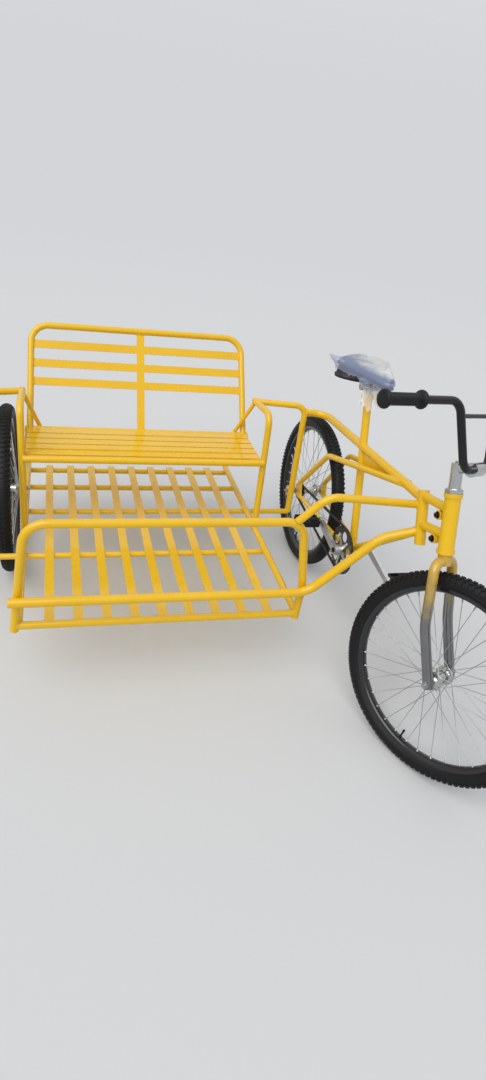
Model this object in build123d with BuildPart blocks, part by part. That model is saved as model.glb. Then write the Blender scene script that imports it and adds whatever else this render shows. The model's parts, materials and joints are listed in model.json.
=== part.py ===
from build123d import *
import os
from math import cos, pi, radians, sin, tan

# Cycle rickshaw: a bicycle with a two-seat welded sidecar on the rider's right.
# Millimetres. X points to the rider's left, -Y forward, Z up. The origin lies on the
# ground under the middle of the machine.

# Driving dimensions of the whole machine
bike_x = 522.0  # centre plane of the bicycle
front_y = -197.0  # front edge of the sidecar platform
platform_width = 900.0  # between the centres of the side rails
platform_length = 1080.0
sidecar_gap = 301.0  # right side rail to the bicycle's centre plane
rail_z = 268.0
wheel_diameter = 654.0

# Tube diameters
rail_d = 25.0
cross_d = 22.0
brace_d = 30.0
guard_d = 27.0
arm_d = 25.0
arm_brace_d = 16.0
main_d = 30.0
seat_stay_d = 22.0
chain_stay_d = 17.0
weld_gap = 0.2  # left between tubes that only touch on their round sides
weld_lap = 3.0  # how far a tube starts inside the one that it is coped to

# Wheels
tyre_width = 48.0
tyre_height = 41.0  # above the rim's edge
rim_width = 32.0
rim_height = 17.0
rim_wall = 3.8
spoke_count = 36
spoke_thickness = 2.2
spoke_circle = 24.0
spoke_lead = 62.0  # degrees between a spoke's ends, seen along the axle
hub_body_d = 32.0
hub_flange_d = 58.0
hub_flange_thickness = 3.0
hub_boss_length = 8.0  # outside the flange
axle_d = 10.0
axle_clearance = 0.05
tyre_to_bracket = 162.0
tyre_to_platform = 64.0
side_wheel_offset = 62.0  # left side rail to the wheel's centre plane

# Bicycle frame
bracket_y = front_y + 258.0
bracket_z = 346.0
bracket_d = 42.0
bracket_width = 72.0
seat_tube_d = 28.6
seat_tube_top_y = front_y + 442.0
seat_tube_top_z = 870.0
stay_spread = 58.0
dropout_thickness = 6.0
chain_line = 46.0
tyre_to_crown = 99.0  # top of the front tyre up to the middle of the head tube
head_angle = 70.5
head_length = 152.0
head_d = 46.0
head_bore_d = 38.0
steerer_d = 28.6
axle_lead = 37.37  # front axle ahead of the steering axis, measured level
steer_at_rest = 27.0  # the photographed position, front wheel to the rider's left
steer_drop = 2.2  # the turned wheel leans, so its axle comes down by this much
bearing_clearance = 0.05

# Worked out from the sizes above
right_x = bike_x - sidecar_gap
left_x = right_x - platform_width
middle_x = (left_x + right_x) / 2
wheel_r = wheel_diameter / 2
rim_r = wheel_r - tyre_height
side_wheel_x = left_x - side_wheel_offset
rear_axle_y = bracket_y + tyre_to_bracket + wheel_r
head_z = wheel_diameter + tyre_to_crown
front_axle_y = front_y - tyre_to_platform - wheel_r
front_axle_drop = head_z - wheel_r + steer_drop
head_y = front_axle_y + front_axle_drop / tan(radians(head_angle)) + axle_lead
steer_axis = Axis((bike_x, head_y, head_z), Vector(0, 1, 0).rotate(Axis.X, head_angle))
axis_up = steer_axis.direction
head_mid = steer_axis.position

# Platform
slat_count = 9
slat_width = 30.0
slat_thickness = 6.0
slat_bevel = 3.0  # cut off the slats' top corner for the weld on the front bar
tyre_to_cross = 20.0
plate_inset = 41.0  # cross tube and uprights ahead of the axle
cross_1_y = rear_axle_y - wheel_r - tyre_to_cross
cross_2_y = rear_axle_y - plate_inset
cross_3_y = front_y + 905.0
cross_4_y = front_y + platform_length - 20.0
cross_z = rail_z - (rail_d + cross_d) / 2 - weld_gap
slat_z = cross_z + cross_d / 2
middle_bar_z = 380.0
middle_bar_overhang = 24.0
guard_z = 634.0
guard_bend = 70.0
guard_foot_z = 250.0
guard_left_splay = 13.0
guard_left_inset = 28.0
guard_right_inset = 46.0

# Seat and backrest
seat_front_y = front_y + 560.0
seat_depth = 257.0
seat_z = 550.0
seat_slat_count = 5
seat_slat_width = 38.0
seat_side_inset = 14.0
seat_side_d = 18.0
seat_side_drop = 3.0  # short tubes under the middle of the long ones
seat_rear_y = seat_front_y + seat_depth
back_inset = 22.0
back_taper = 10.0
back_rise = 343.0
back_run = 203.0
back_bend = 68.0
back_slat_drops = (72.0, 144.0, 214.0)
back_slat_width = 30.0

# Armrests and link bars
link_reach = 204.0  # right side rail out to the upright between sidecar and bicycle
outer_reach = 150.0  # left side rail out to the upright beyond the side wheel
link_over_tyre = 62.0
link_corner_y = rear_axle_y + 3.0
link_corner_z = wheel_diameter + link_over_tyre
link_bend = 40.0
link_x = right_x + link_reach
link_gap = bike_x - link_x
outer_x = left_x - outer_reach
arm_foot_y = front_y + 540.0
arm_front_y = front_y + 592.0
arm_front_z = link_corner_z + 21.0
arm_rear_y = front_y + 800.0
arm_rear_z = link_corner_z - 4.0
arm_bend = 45.0
arm_brace_inset = 62.0


def turned(x, y, z):
    """Where a point of the straight-ahead front end lies with the steering turned."""
    arm = Vector(x, y, z) - steer_axis.position
    return steer_axis.position + arm.rotate(steer_axis, steer_at_rest)


def tube(points, diameter, bends=()):
    """Round tube along straight runs, with one bend radius for each inner corner."""
    with BuildLine() as path:
        if bends:
            FilletPolyline(*points, radius=list(bends))
        else:
            Line(*points)
    with BuildSketch(Plane(path.line @ 0, z_dir=path.line % 0)) as profile:
        Circle(diameter / 2)
    sweep(profile.sketch, path=path.line)


def rod(start, end, diameter):
    """Straight round bar between two points."""
    axis = Vector(*end) - Vector(*start)
    with BuildSketch(Plane(Vector(*start), z_dir=axis)) as profile:
        Circle(diameter / 2)
    extrude(profile.sketch, amount=axis.length)


def flat_bar(start, end, width, thickness, face):
    """Flat bar between two points, its wide side facing the given way."""
    run = Vector(*end) - Vector(*start)
    plane = Plane(Vector(*start), x_dir=run.cross(Vector(*face)), z_dir=run)
    with BuildSketch(plane) as profile:
        Rectangle(width, thickness)
    extrude(profile.sketch, amount=run.length)


def save(piece, label):
    """Names a finished piece and writes it out."""
    piece.part.label = label
    export_step(piece.part, f"parts/{label}.step")


os.makedirs("parts", exist_ok=True)

# Platform: one bent guard rail in front, its feet welded to the front bar and side rails
with BuildPart() as guard_rail:
    tube(
        [
            (left_x - guard_left_splay, front_y, guard_foot_z),
            (left_x + guard_left_inset, front_y, guard_z),
            (right_x - guard_right_inset, front_y, guard_z),
            (right_x, front_y, middle_bar_z),
            (right_x, front_y, guard_foot_z),
        ],
        guard_d,
        (guard_bend, guard_bend, guard_bend),
    )
save(guard_rail, "guard_rail")

with BuildPart() as front_bar:
    rod((left_x - weld_lap, front_y, rail_z), (right_x - weld_lap, front_y, rail_z), rail_d)
    add(guard_rail.part, mode=Mode.SUBTRACT)
save(front_bar, "front_bar")

with BuildPart() as side_rails:
    for x in (left_x, right_x):
        rod((x, front_y + weld_lap, rail_z), (x, front_y + platform_length, rail_z), rail_d)
    add(guard_rail.part, mode=Mode.SUBTRACT)
    add(front_bar.part, mode=Mode.SUBTRACT)
save(side_rails, "side_rails")

with BuildPart() as cross_tubes:
    for start, stop, y in (
        (outer_x, right_x + weld_lap, cross_1_y),
        (left_x - weld_lap, link_x, cross_2_y),
        (left_x - weld_lap, right_x + weld_lap, cross_3_y),
        (left_x - weld_lap, right_x + weld_lap, cross_4_y),
    ):
        rod((start, y, cross_z), (stop, y, cross_z), cross_d)
save(cross_tubes, "cross_tubes")

slat_pitch = platform_width / (slat_count + 1)
slat_top_z = slat_z + slat_thickness
slat_end_y = front_y + platform_length - 4
with BuildPart() as platform_slats:
    for i in range(slat_count):
        x = left_x + slat_pitch * (i + 1)
        z = slat_z + slat_thickness / 2
        flat_bar((x, front_y, z), (x, slat_end_y, z), slat_width, slat_thickness, (0, 0, 1))
    add(front_bar.part, mode=Mode.SUBTRACT)
    with BuildSketch(Plane((left_x, 0, 0), x_dir=(0, 1, 0), z_dir=(1, 0, 0))):
        with BuildLine():
            Polyline(
                (front_y - rail_d / 2, slat_top_z),
                (front_y + rail_d / 2 + weld_gap, slat_top_z),
                (front_y + rail_d / 3, slat_top_z - slat_bevel),
                (front_y - rail_d / 2, slat_z),
                close=True,
            )
        make_face()
    extrude(amount=platform_width, mode=Mode.SUBTRACT)
save(platform_slats, "platform_slats")

# Head tube of the bicycle
with BuildPart() as head_tube:
    with BuildSketch(Plane(head_mid, z_dir=axis_up)):
        Circle(head_d / 2)
        Circle(head_bore_d / 2, mode=Mode.SUBTRACT)
    extrude(amount=head_length / 2, both=True)
save(head_tube, "head_tube")

# Inner post, which all the front tubes are welded to, with two bridges to the head tube
post_d = 34.0
post_top = (bike_x, head_y + 163, head_z + 19)
post_foot = (bike_x, head_y + 94, head_z - 135)
bridge_d = 28.0
bridge_table = (  # height along the head tube, then the bridge's end behind and above its middle
    (38.0, 156.0, 4.0),
    (-36.0, 120.0, -77.0),
)
with BuildPart() as head_post:
    rod(post_foot, post_top, post_d)
    for along, back, up in bridge_table:
        rod(head_mid + axis_up * along, (bike_x, head_y + back, head_z + up), bridge_d)
    add(head_tube.part, mode=Mode.SUBTRACT)
    with BuildSketch(Plane(head_mid, z_dir=axis_up)):
        Circle(head_bore_d / 2 + 1)
    extrude(amount=head_length / 2, both=True, mode=Mode.SUBTRACT)
save(head_post, "head_post")

# Middle bar, bent up into the lower brace to the bicycle
middle_y = front_y - (brace_d + guard_d) / 2 - weld_gap
brace_x = bike_x - 5
brace_out = 195.0  # right side rail out to the lower brace's upper bend
with BuildPart() as lower_brace:
    tube(
        [
            (left_x - middle_bar_overhang, middle_y, middle_bar_z),
            (right_x + 5, middle_y, middle_bar_z),
            (right_x + brace_out, front_y - 60, head_z - 141),
            (brace_x, head_y + 119, head_z - 101),
        ],
        brace_d,
        (90, 110),
    )
    add(head_post.part, mode=Mode.SUBTRACT)
save(lower_brace, "lower_brace")

brace_start = 70.0  # where it leaves the guard rail, in from the right side rail
with BuildPart() as upper_brace:
    tube(
        [
            (right_x - brace_start, front_y - 4, guard_z + 4),
            (right_x + 5, front_y - 20, head_z - 18),
            (brace_x, head_y + 157, head_z - 29),
        ],
        arm_d,
        (70,),
    )
    add(guard_rail.part, mode=Mode.SUBTRACT)
    add(head_post.part, mode=Mode.SUBTRACT)
save(upper_brace, "upper_brace")

# Armrests: one bent tube on each side, from the side rail up and back, with a short brace
# from its rear end down and in to the seat's rear tube
sides = ((left_x, -1, outer_reach), (right_x, 1, link_reach))
with BuildPart() as armrests:
    for x, out, reach in sides:
        tube(
            [
                (x, arm_foot_y, rail_z),
                (x, arm_front_y, arm_front_z),
                (x, arm_rear_y, arm_rear_z),
            ],
            arm_d,
            (arm_bend,),
        )
        brace_foot = (x - out * arm_brace_inset, seat_rear_y + rail_d / 2, seat_z)
        rod((x, arm_rear_y - arm_d / 2, arm_rear_z), brace_foot, arm_brace_d)
    add(side_rails.part, mode=Mode.SUBTRACT)
save(armrests, "armrests")

# Link bars: out over the wheel from the armrest, then down past the axle to the floor tubes
with BuildPart() as link_bars:
    for x, out, reach in sides:
        tube(
            [
                (x + out * weld_lap, arm_rear_y - arm_d / 3, arm_rear_z),
                (x + out * reach, link_corner_y, link_corner_z),
                (x + out * reach, cross_2_y, cross_z),
            ],
            arm_d,
            (link_bend,),
        )
    add(armrests.part, mode=Mode.SUBTRACT)
    add(cross_tubes.part, mode=Mode.SUBTRACT)
save(link_bars, "link_bars")

with BuildPart() as outer_rail:
    rail_end_y = cross_2_y + arm_d / 2 + weld_lap
    rod((outer_x, cross_1_y, cross_z), (outer_x, rail_end_y, cross_z), cross_d)
    add(cross_tubes.part, mode=Mode.SUBTRACT)
    add(link_bars.part, mode=Mode.SUBTRACT)
save(outer_rail, "outer_rail")

# Plates that the axles end in: on the two uprights and on the left side rail
plate_d = 44.0
plate_thickness = 6.0
plate_foot = 45.0
axle_hole_d = axle_d + 2 * axle_clearance
with BuildPart() as axle_plates:
    for x in (outer_x, link_x):
        with BuildSketch(Plane((x, 0, wheel_r), x_dir=(0, 1, 0), z_dir=(1, 0, 0))):
            with Locations((rear_axle_y, 0)):
                Circle(plate_d / 2)
            with Locations((rear_axle_y - plate_d / 2, 0)):
                Rectangle(plate_d, plate_d)
            with Locations((rear_axle_y, 0)):
                Circle(axle_hole_d / 2, mode=Mode.SUBTRACT)
        extrude(amount=plate_thickness / 2, both=True)
    add(link_bars.part, mode=Mode.SUBTRACT)
    bar_back_y = cross_2_y + arm_d * 0.4
    split(bisect_by=Plane((0, bar_back_y, wheel_r), z_dir=(0, 1, 0)), keep=Keep.TOP)
    with BuildSketch(Plane((left_x, rear_axle_y, 0), x_dir=(0, 1, 0), z_dir=(1, 0, 0))):
        with BuildLine():
            Polyline(
                (-plate_foot, rail_z),
                (-plate_d / 2, wheel_r + plate_d / 2),
                (plate_d / 2, wheel_r + plate_d / 2),
                (plate_foot, rail_z),
                close=True,
            )
        make_face()
        with Locations((0, wheel_r)):
            Circle(axle_hole_d / 2, mode=Mode.SUBTRACT)
    extrude(amount=plate_thickness / 2, both=True)
    add(side_rails.part, mode=Mode.SUBTRACT)
save(axle_plates, "axle_plates")

# Seat: two long tubes, three short ones and five slats
seat_side_z = seat_z - seat_side_drop
with BuildPart() as seat_frame:
    for y in (seat_front_y, seat_rear_y):
        rod((left_x + weld_lap, y, seat_z), (right_x - weld_lap, y, seat_z), rail_d)
    for x in (left_x + seat_side_inset, middle_x, right_x - seat_side_inset):
        rod((x, seat_front_y, seat_side_z), (x, seat_rear_y, seat_side_z), seat_side_d)
    add(armrests.part, mode=Mode.SUBTRACT)
save(seat_frame, "seat_frame")

seat_slat_z = seat_side_z + (seat_side_d + slat_thickness) / 2
seat_slat_pitch = (seat_depth - rail_d) / seat_slat_count
seat_slat_inset = rail_d / 2 + 1
with BuildPart() as seat_slats:
    for i in range(seat_slat_count):
        y = seat_front_y + rail_d / 2 + seat_slat_pitch * (i + 0.5)
        flat_bar(
            (left_x + seat_slat_inset, y, seat_slat_z),
            (right_x - seat_slat_inset, y, seat_slat_z),
            seat_slat_width,
            slat_thickness,
            (0, 0, 1),
        )
    add(seat_frame.part, mode=Mode.SUBTRACT)
save(seat_slats, "seat_slats")

# Backrest: one bent tube with three flat slats and a middle strip
back_left = left_x + back_inset
back_right = right_x - back_inset
back_foot_z = seat_z + weld_lap
back_top_y = seat_rear_y + back_run
back_top_z = seat_z + back_rise
with BuildPart() as back_frame:
    tube(
        [
            (back_left, seat_rear_y, back_foot_z),
            (back_left + back_taper, back_top_y, back_top_z),
            (back_right - back_taper, back_top_y, back_top_z),
            (back_right, seat_rear_y, back_foot_z),
        ],
        rail_d,
        (back_bend, back_bend),
    )
    add(seat_frame.part, mode=Mode.SUBTRACT)
save(back_frame, "back_frame")

back_lean = Vector(0, back_run, back_top_z - back_foot_z).normalized()
back_face = Vector(1, 0, 0).cross(back_lean)
back_top = Vector(middle_x, back_top_y, back_top_z)
slat_start_x = back_left + back_taper / 2
slat_stop_x = back_right - back_taper / 2
with BuildPart() as back_slats:
    for drop in back_slat_drops:
        middle = back_top - back_lean * drop
        flat_bar(
            (slat_start_x, middle.Y, middle.Z),
            (slat_stop_x, middle.Y, middle.Z),
            back_slat_width,
            slat_thickness,
            back_face,
        )
    strip_foot = Vector(middle_x, seat_rear_y, back_foot_z)
    flat_bar(strip_foot, back_top, back_slat_width, slat_thickness, back_face)
    add(back_frame.part, mode=Mode.SUBTRACT)
    add(seat_frame.part, mode=Mode.SUBTRACT)
save(back_slats, "back_slats")

# Bicycle frame, each tube coped to the bottom bracket, the seat tube or the inner post
bracket = Vector(bike_x, bracket_y, bracket_z)
spindle_d = 17.0
with BuildPart() as bottom_bracket:
    with BuildSketch(Plane(bracket, z_dir=(1, 0, 0))):
        Circle(bracket_d / 2)
        Circle(spindle_d / 2 + bearing_clearance, mode=Mode.SUBTRACT)
    extrude(amount=bracket_width / 2, both=True)
save(bottom_bracket, "bottom_bracket")

with BuildPart() as bracket_core:
    with BuildSketch(Plane(bracket, z_dir=(1, 0, 0))):
        Circle(bracket_d / 2)
    extrude(amount=bracket_width / 2, both=True)

seat_tube_top = Vector(bike_x, seat_tube_top_y, seat_tube_top_z)
with BuildPart() as seat_tube:
    rod(bracket, seat_tube_top, seat_tube_d)
    add(bracket_core.part, mode=Mode.SUBTRACT)
save(seat_tube, "seat_tube")

top_tube_drop = 26.0  # under the link bar's corner
top_tube_rear_z = link_corner_z - 32
top_tube_front_z = head_z - 6
gusset_thickness = 5.0
gusset_corners = ((150.0, 48.0), (390.0, 28.0), (356.0, -32.0), (166.0, 28.0))
with BuildPart() as top_tube:
    tube(
        [
            (link_x + weld_lap, link_corner_y, link_corner_z - top_tube_drop),
            (bike_x, link_corner_y + 12, top_tube_rear_z),
            (bike_x, head_y + 159, top_tube_front_z),
        ],
        main_d,
        (60,),
    )
    with BuildSketch(Plane((bike_x, 0, 0), x_dir=(0, 1, 0), z_dir=(1, 0, 0))):
        with BuildLine():
            Polyline(
                *[(front_y + back, top_tube_rear_z + up) for back, up in gusset_corners],
                close=True,
            )
        make_face()
    extrude(amount=gusset_thickness / 2, both=True)
    for neighbour in (link_bars, head_post, upper_brace, seat_tube):
        add(neighbour.part, mode=Mode.SUBTRACT)
save(top_tube, "top_tube")

with BuildPart() as down_tube:
    rod(bracket, (bike_x, head_y + 116, head_z - 95), main_d)
    for neighbour in (bracket_core, seat_tube, head_post, lower_brace):
        add(neighbour.part, mode=Mode.SUBTRACT)
save(down_tube, "down_tube")

dropout_table = ((0.0, 0.0, 19.0), (-48.0, -2.0, 11.0), (-24.0, 56.0, 11.0))  # back, up, radius
stay_y = rear_axle_y + dropout_table[1][0]
with BuildPart() as chain_stays:
    for side in (-1, 1):
        stay_x = bike_x + side * stay_spread
        tube(
            [
                (bike_x + side * bracket_width / 3, bracket_y + bracket_d / 4, bracket_z),
                (bike_x + side * 35, bracket_y + 140, bracket_z - 5),
                (stay_x, stay_y, wheel_r + dropout_table[1][1]),
            ],
            chain_stay_d,
            (200,),
        )
        with BuildSketch(Plane((stay_x, 0, 0), x_dir=(0, 1, 0), z_dir=(1, 0, 0))):
            for back, up, radius in dropout_table:
                with Locations((rear_axle_y + back, wheel_r + up)):
                    Circle(radius)
            make_hull()
        extrude(amount=dropout_thickness / 2, both=True)
    with BuildSketch(Plane((bike_x, rear_axle_y, wheel_r), z_dir=(1, 0, 0))):
        Circle(axle_hole_d / 2)
    extrude(amount=stay_spread * 2, both=True, mode=Mode.SUBTRACT)
    add(bracket_core.part, mode=Mode.SUBTRACT)
    add(seat_tube.part, mode=Mode.SUBTRACT)
save(chain_stays, "chain_stays")

with BuildPart() as seat_stays:
    for side in (-1, 1):
        tube(
            [
                (bike_x + side * 14, front_y + 66, head_z - 15),
                (bike_x + side * 46, rear_axle_y - 199, wheel_diameter - 58),
                (bike_x + side * stay_spread, rear_axle_y - 22, wheel_r + 52),
            ],
            seat_stay_d,
            (70,),
        )
    for neighbour in (top_tube, seat_tube, chain_stays):
        add(neighbour.part, mode=Mode.SUBTRACT)
save(seat_stays, "seat_stays")

# Headset cups, pressed into both ends of the head tube
cup_height = 12.0
cup_depth = 14.0
cup_rim = 3.0
with BuildPart() as headset_cups:
    for end in (-1, 1):
        seat = head_mid + axis_up * (end * head_length / 2)
        with BuildSketch(Plane(seat, z_dir=axis_up * end)):
            Circle(head_d / 2 + cup_rim)
        extrude(amount=cup_height)
        with BuildSketch(Plane(seat, z_dir=axis_up * -end)):
            Circle(head_bore_d / 2)
        extrude(amount=cup_depth)
    with BuildSketch(Plane(head_mid - axis_up * head_length, z_dir=axis_up)):
        Circle(steerer_d / 2 + bearing_clearance)
    extrude(amount=head_length * 2, mode=Mode.SUBTRACT)
save(headset_cups, "headset_cups")

# Fork, stem and handlebar, built straight ahead and turned to the photographed place
ahead_way = Vector(1, 0, 0).cross(axis_up)
front_hub = Vector(bike_x, front_axle_y, wheel_r - steer_drop)
hub_low = (head_mid - front_hub).dot(axis_up)
hub_forward = (front_hub - head_mid).dot(ahead_way)
crown_d = 40.0
crown_height = 34.0
crown_gap = 0.3
crown_low = head_length / 2 + cup_height + crown_gap
steerer_rise = 30.0  # above the head tube
leg_d = 30.0
leg_shoulder_spread = 50.0
leg_foot_spread = 62.0
leg_bend_rise = 170.0  # the legs curve forward below this height over the axle
leg_foot_rise = 14.0


def ahead_point(side, low, forward):
    """Turned place of a fork point: sideways, down the steering axis and forward of it."""
    point = head_mid - axis_up * low + ahead_way * forward
    return turned(point.X + side, point.Y, point.Z)


turned_up = ahead_point(0, -1, 0) - ahead_point(0, 0, 0)
turned_side = ahead_point(1, 0, 0) - ahead_point(0, 0, 0)
with BuildPart() as fork:
    rod(ahead_point(0, crown_low + crown_height, 0), ahead_point(0, crown_low, 0), crown_d)
    steerer_top = -head_length / 2 - steerer_rise
    rod(ahead_point(0, crown_low + 4, 0), ahead_point(0, steerer_top, 0), steerer_d)
    for side in (-1, 1):
        tube(
            [
                ahead_point(side * 2, crown_low + crown_height - leg_d / 2 - 3, 0),
                ahead_point(side * leg_shoulder_spread, crown_low + leg_d, 0),
                ahead_point(side * (leg_foot_spread + 2), hub_low - leg_bend_rise, 2),
                ahead_point(side * leg_foot_spread, hub_low + leg_foot_rise, hub_forward + 2),
            ],
            leg_d,
            (30, 220),
        )
        foot = ahead_point(side * leg_foot_spread, hub_low, hub_forward)
        with BuildSketch(Plane(foot, z_dir=turned_side)):
            Circle(axle_hole_d / 2)
        extrude(amount=leg_d, both=True, mode=Mode.SUBTRACT)
save(fork, "fork")

stem_rise = 162.0  # clamp above the middle of the head tube, along it
clamp_forward = 53.0
bar_d = 22.2
bar_brace_d = 12.0
bar_end = (353.0, 133.0, 142.0)  # sideways, back and up from the clamp
bar_shoulder = (103.0, 77.0, 166.0)
bar_foot = (67.0, 0.0, 0.0)
bar_brace_end = (96.0, 61.0, 130.0)
bar_bend = 40.0


def bar_point(hand, place):
    """Turned place of a handlebar point on one hand's side."""
    side, back, up = place
    point = head_mid + axis_up * stem_rise + ahead_way * clamp_forward
    return turned(point.X + hand * side, point.Y + back, point.Z + up)


with BuildPart() as handlebar:
    half = (bar_end, bar_shoulder, bar_foot)
    points = [bar_point(-1, place) for place in half]
    points += [bar_point(1, place) for place in reversed(half)]
    tube(points, bar_d, (bar_bend, bar_bend, bar_bend, bar_bend))
    rod(bar_point(-1, bar_brace_end), bar_point(1, bar_brace_end), bar_brace_d)
save(handlebar, "handlebar")

stem_d = 34.0
stem_neck_d = 30.0
clamp_d = 40.0
clamp_width = 52.0
locknut_d = 44.0
locknut_height = 14.0
stem_foot = -head_length / 2 - cup_height - crown_gap
with BuildPart() as stem:
    with BuildSketch(Plane(ahead_point(0, stem_foot, 0), z_dir=turned_up)):
        Circle(locknut_d / 2)
    extrude(amount=locknut_height)
    rod(ahead_point(0, stem_foot, 0), ahead_point(0, -stem_rise - 12, 0), stem_d)
    rod(ahead_point(0, -stem_rise, 0), ahead_point(0, -stem_rise, clamp_forward), stem_neck_d)
    rod(
        ahead_point(-clamp_width / 2, -stem_rise, clamp_forward),
        ahead_point(clamp_width / 2, -stem_rise, clamp_forward),
        clamp_d,
    )
    add(fork.part, mode=Mode.SUBTRACT)
    add(handlebar.part, mode=Mode.SUBTRACT)
save(stem, "stem")

grip_length = 132.0
grip_d = 32.0
grip_cap = 4.0  # closed end beyond the bar
flange_d = 46.0
flange_thickness = 9.0
with BuildPart() as grips:
    for hand in (-1, 1):
        end = bar_point(hand, bar_end)
        way = (bar_point(hand, bar_shoulder) - end).normalized()
        rod(end - way * grip_cap, end + way * (grip_length - grip_cap), grip_d)
        for start in (-grip_cap - 2, grip_length - grip_cap - flange_thickness):
            rod(end + way * start, end + way * (start + flange_thickness), flange_d)
    add(handlebar.part, mode=Mode.SUBTRACT)
save(grips, "grips")

# Wheels: tyre, rim, hub and spokes, each on its own axle
tyre_half = (  # share of the half width, share of the height down from the crown
    (0.4, 0.0),
    (1.0, 0.35),
    (1.0, 1.0),
)
rim_half = (  # in from the rim's side, down from its edge
    (0.0, 0.0),
    (1.0, 11.0),
    (9.0, rim_height),
)
rim_well_depth = 4.2
wheel_table = [  # name, centre, axle direction, half width over the hub flanges
    ("front", turned(*front_hub), turned_side, 32.0),
    ("rear", Vector(bike_x, rear_axle_y, wheel_r), Vector(1, 0, 0), 30.0),
    ("side", Vector(side_wheel_x, rear_axle_y, wheel_r), Vector(1, 0, 0), 32.0),
]


def ring(section, half_outline, axle_line):
    """Turns half of a symmetrical wheel section, and its mirror image, round the axle."""
    with BuildSketch(section) as profile:
        Polygon(*half_outline, *[(-across, r) for across, r in reversed(half_outline)], align=None)
    revolve(profile.sketch, axis=axle_line)


for name, centre, axle_way, flange in wheel_table:
    section = Plane(centre, x_dir=axle_way, z_dir=axle_way.cross(Vector(0, 0, 1)))
    axle_line = Axis(centre, axle_way)
    with BuildPart() as rim:
        outline = [(rim_width / 2 - inward, rim_r - down) for inward, down in rim_half]
        well = rim_width / 2 - rim_wall
        ring(section, [(well, rim_r - rim_well_depth), (well, rim_r), *outline], axle_line)
    save(rim, f"{name}_rim")

    with BuildPart() as tyre:
        outline = [
            (tyre_width / 2 * across, wheel_r - tyre_height * down) for across, down in tyre_half
        ]
        ring(section, outline, axle_line)
    save(tyre, f"{name}_tyre")

    with BuildPart() as hub:
        inner = flange - hub_flange_thickness / 2
        outer = flange + hub_flange_thickness / 2
        outline = [
            (inner, hub_body_d / 2),
            (inner, hub_flange_d / 2),
            (outer, hub_flange_d / 2),
            (outer, 14.0),
            (flange + hub_boss_length, 12.0),
            (flange + hub_boss_length, axle_hole_d / 2),
        ]
        ring(section, outline, axle_line)
    save(hub, f"{name}_hub")

    with BuildPart() as spokes:
        for lead, beside in ((-1, -2.9), (1, 3.9)):
            spoke_planes = []
            for i in range(spoke_count // 2):
                side = 1 if i % 2 else -1
                rim_angle = 360 / spoke_count * (2 * i + (lead + 1) / 2)
                hub_way = section.y_dir.rotate(axle_line, rim_angle + lead * spoke_lead)
                rim_way = section.y_dir.rotate(axle_line, rim_angle)
                start = centre + axle_way * side * (flange + beside) + hub_way * spoke_circle
                end = centre + axle_way * (side * 3) + rim_way * (rim_r - rim_height - 0.6)
                spoke_planes.append(Plane(start, z_dir=end - start))
            spoke_length = (end - start).length
            with BuildSketch(*spoke_planes):
                RegularPolygon(spoke_thickness / 2, 4)
            extrude(amount=spoke_length)
    save(spokes, f"{name}_spokes")

# Axles with their sleeves and nuts
nut_width = 17.0
nut_height = 7.0
sleeve_d = 18.0
seat_gap = 0.3
thread_out = 6.7  # axle end beyond its last nut
outer_gap = outer_reach - side_wheel_offset
plate_clear = plate_thickness / 2 + seat_gap
nut_reach = plate_clear + nut_height + thread_out
front_leg_out = leg_foot_spread + leg_d / 2
front_leg_in = leg_foot_spread - leg_d / 2
front_sleeve = (32.0 + hub_boss_length + 1, front_leg_in - seat_gap)
front_end = (front_leg_out + nut_height + thread_out, (front_leg_out + seat_gap,), (front_sleeve,))
sprocket_out = 51.0
stay_seat = stay_spread + plate_clear
link_sleeve = (stay_seat + nut_height + 0.4, link_gap - plate_clear)
axle_table = [  # name, centre, direction, then for each end: reach, nut seats, sleeves
    ("front", turned(*front_hub), turned_side, front_end, front_end),
    (
        "rear",
        Vector(bike_x, rear_axle_y, wheel_r),
        Vector(1, 0, 0),
        (
            link_gap + nut_reach,
            (stay_seat, link_gap + plate_clear),
            ((sprocket_out + 0.5, stay_spread - plate_clear), link_sleeve),
        ),
        (stay_spread + nut_reach, (stay_seat,), ((39.0, stay_spread - plate_clear),)),
    ),
    (
        "side",
        Vector(side_wheel_x, rear_axle_y, wheel_r),
        Vector(1, 0, 0),
        (outer_gap + nut_reach, (outer_gap + plate_clear,), ((41.0, outer_gap - plate_clear),)),
        (
            side_wheel_offset + nut_reach,
            (side_wheel_offset + plate_clear,),
            ((41.0, side_wheel_offset - plate_clear),),
        ),
    ),
]
for name, centre, way, right_end, left_end in axle_table:
    with BuildPart() as axle:
        rod(centre - way * right_end[0], centre + way * left_end[0], axle_d)
        for side, (reach, nut_seats, sleeves) in ((-1, right_end), (1, left_end)):
            for seat in nut_seats:
                with BuildSketch(Plane(centre + way * side * seat, z_dir=way * side)):
                    RegularPolygon(nut_width / 2, 6, major_radius=False)
                extrude(amount=nut_height)
            for start, stop in sleeves:
                rod(centre + way * side * start, centre + way * side * stop, sleeve_d)
    save(axle, f"{name}_axle")

# Freewheel sprocket on the rear hub
chain_x = bike_x - chain_line
pitch = 12.7
rear_teeth = 16
ring_teeth = 44
disc_thickness = 3.2
tooth_rise = 2.5  # above the circle that the chain's rollers lie on
tooth_root = 4.5
freewheel_d = 42.0


def pitch_radius(teeth):
    """Radius of the circle that the chain's rollers lie on."""
    return pitch / 2 / sin(pi / teeth)


def toothed_disc(centre, teeth, thickness):
    """Flat toothed wheel across the chain line, its teeth standing to the roller circle."""
    pitch_r = pitch_radius(teeth)
    corners = []
    for i in range(teeth * 4):
        radius = pitch_r + (tooth_rise if i % 4 < 2 else -tooth_root)
        angle = radians(360 / teeth / 4 * (i + 0.5))
        corners.append((radius * cos(angle), radius * sin(angle)))
    with BuildSketch(Plane(centre, z_dir=(1, 0, 0))) as profile:
        Polygon(*corners, align=None)
    extrude(profile.sketch, amount=thickness / 2, both=True)


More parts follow.
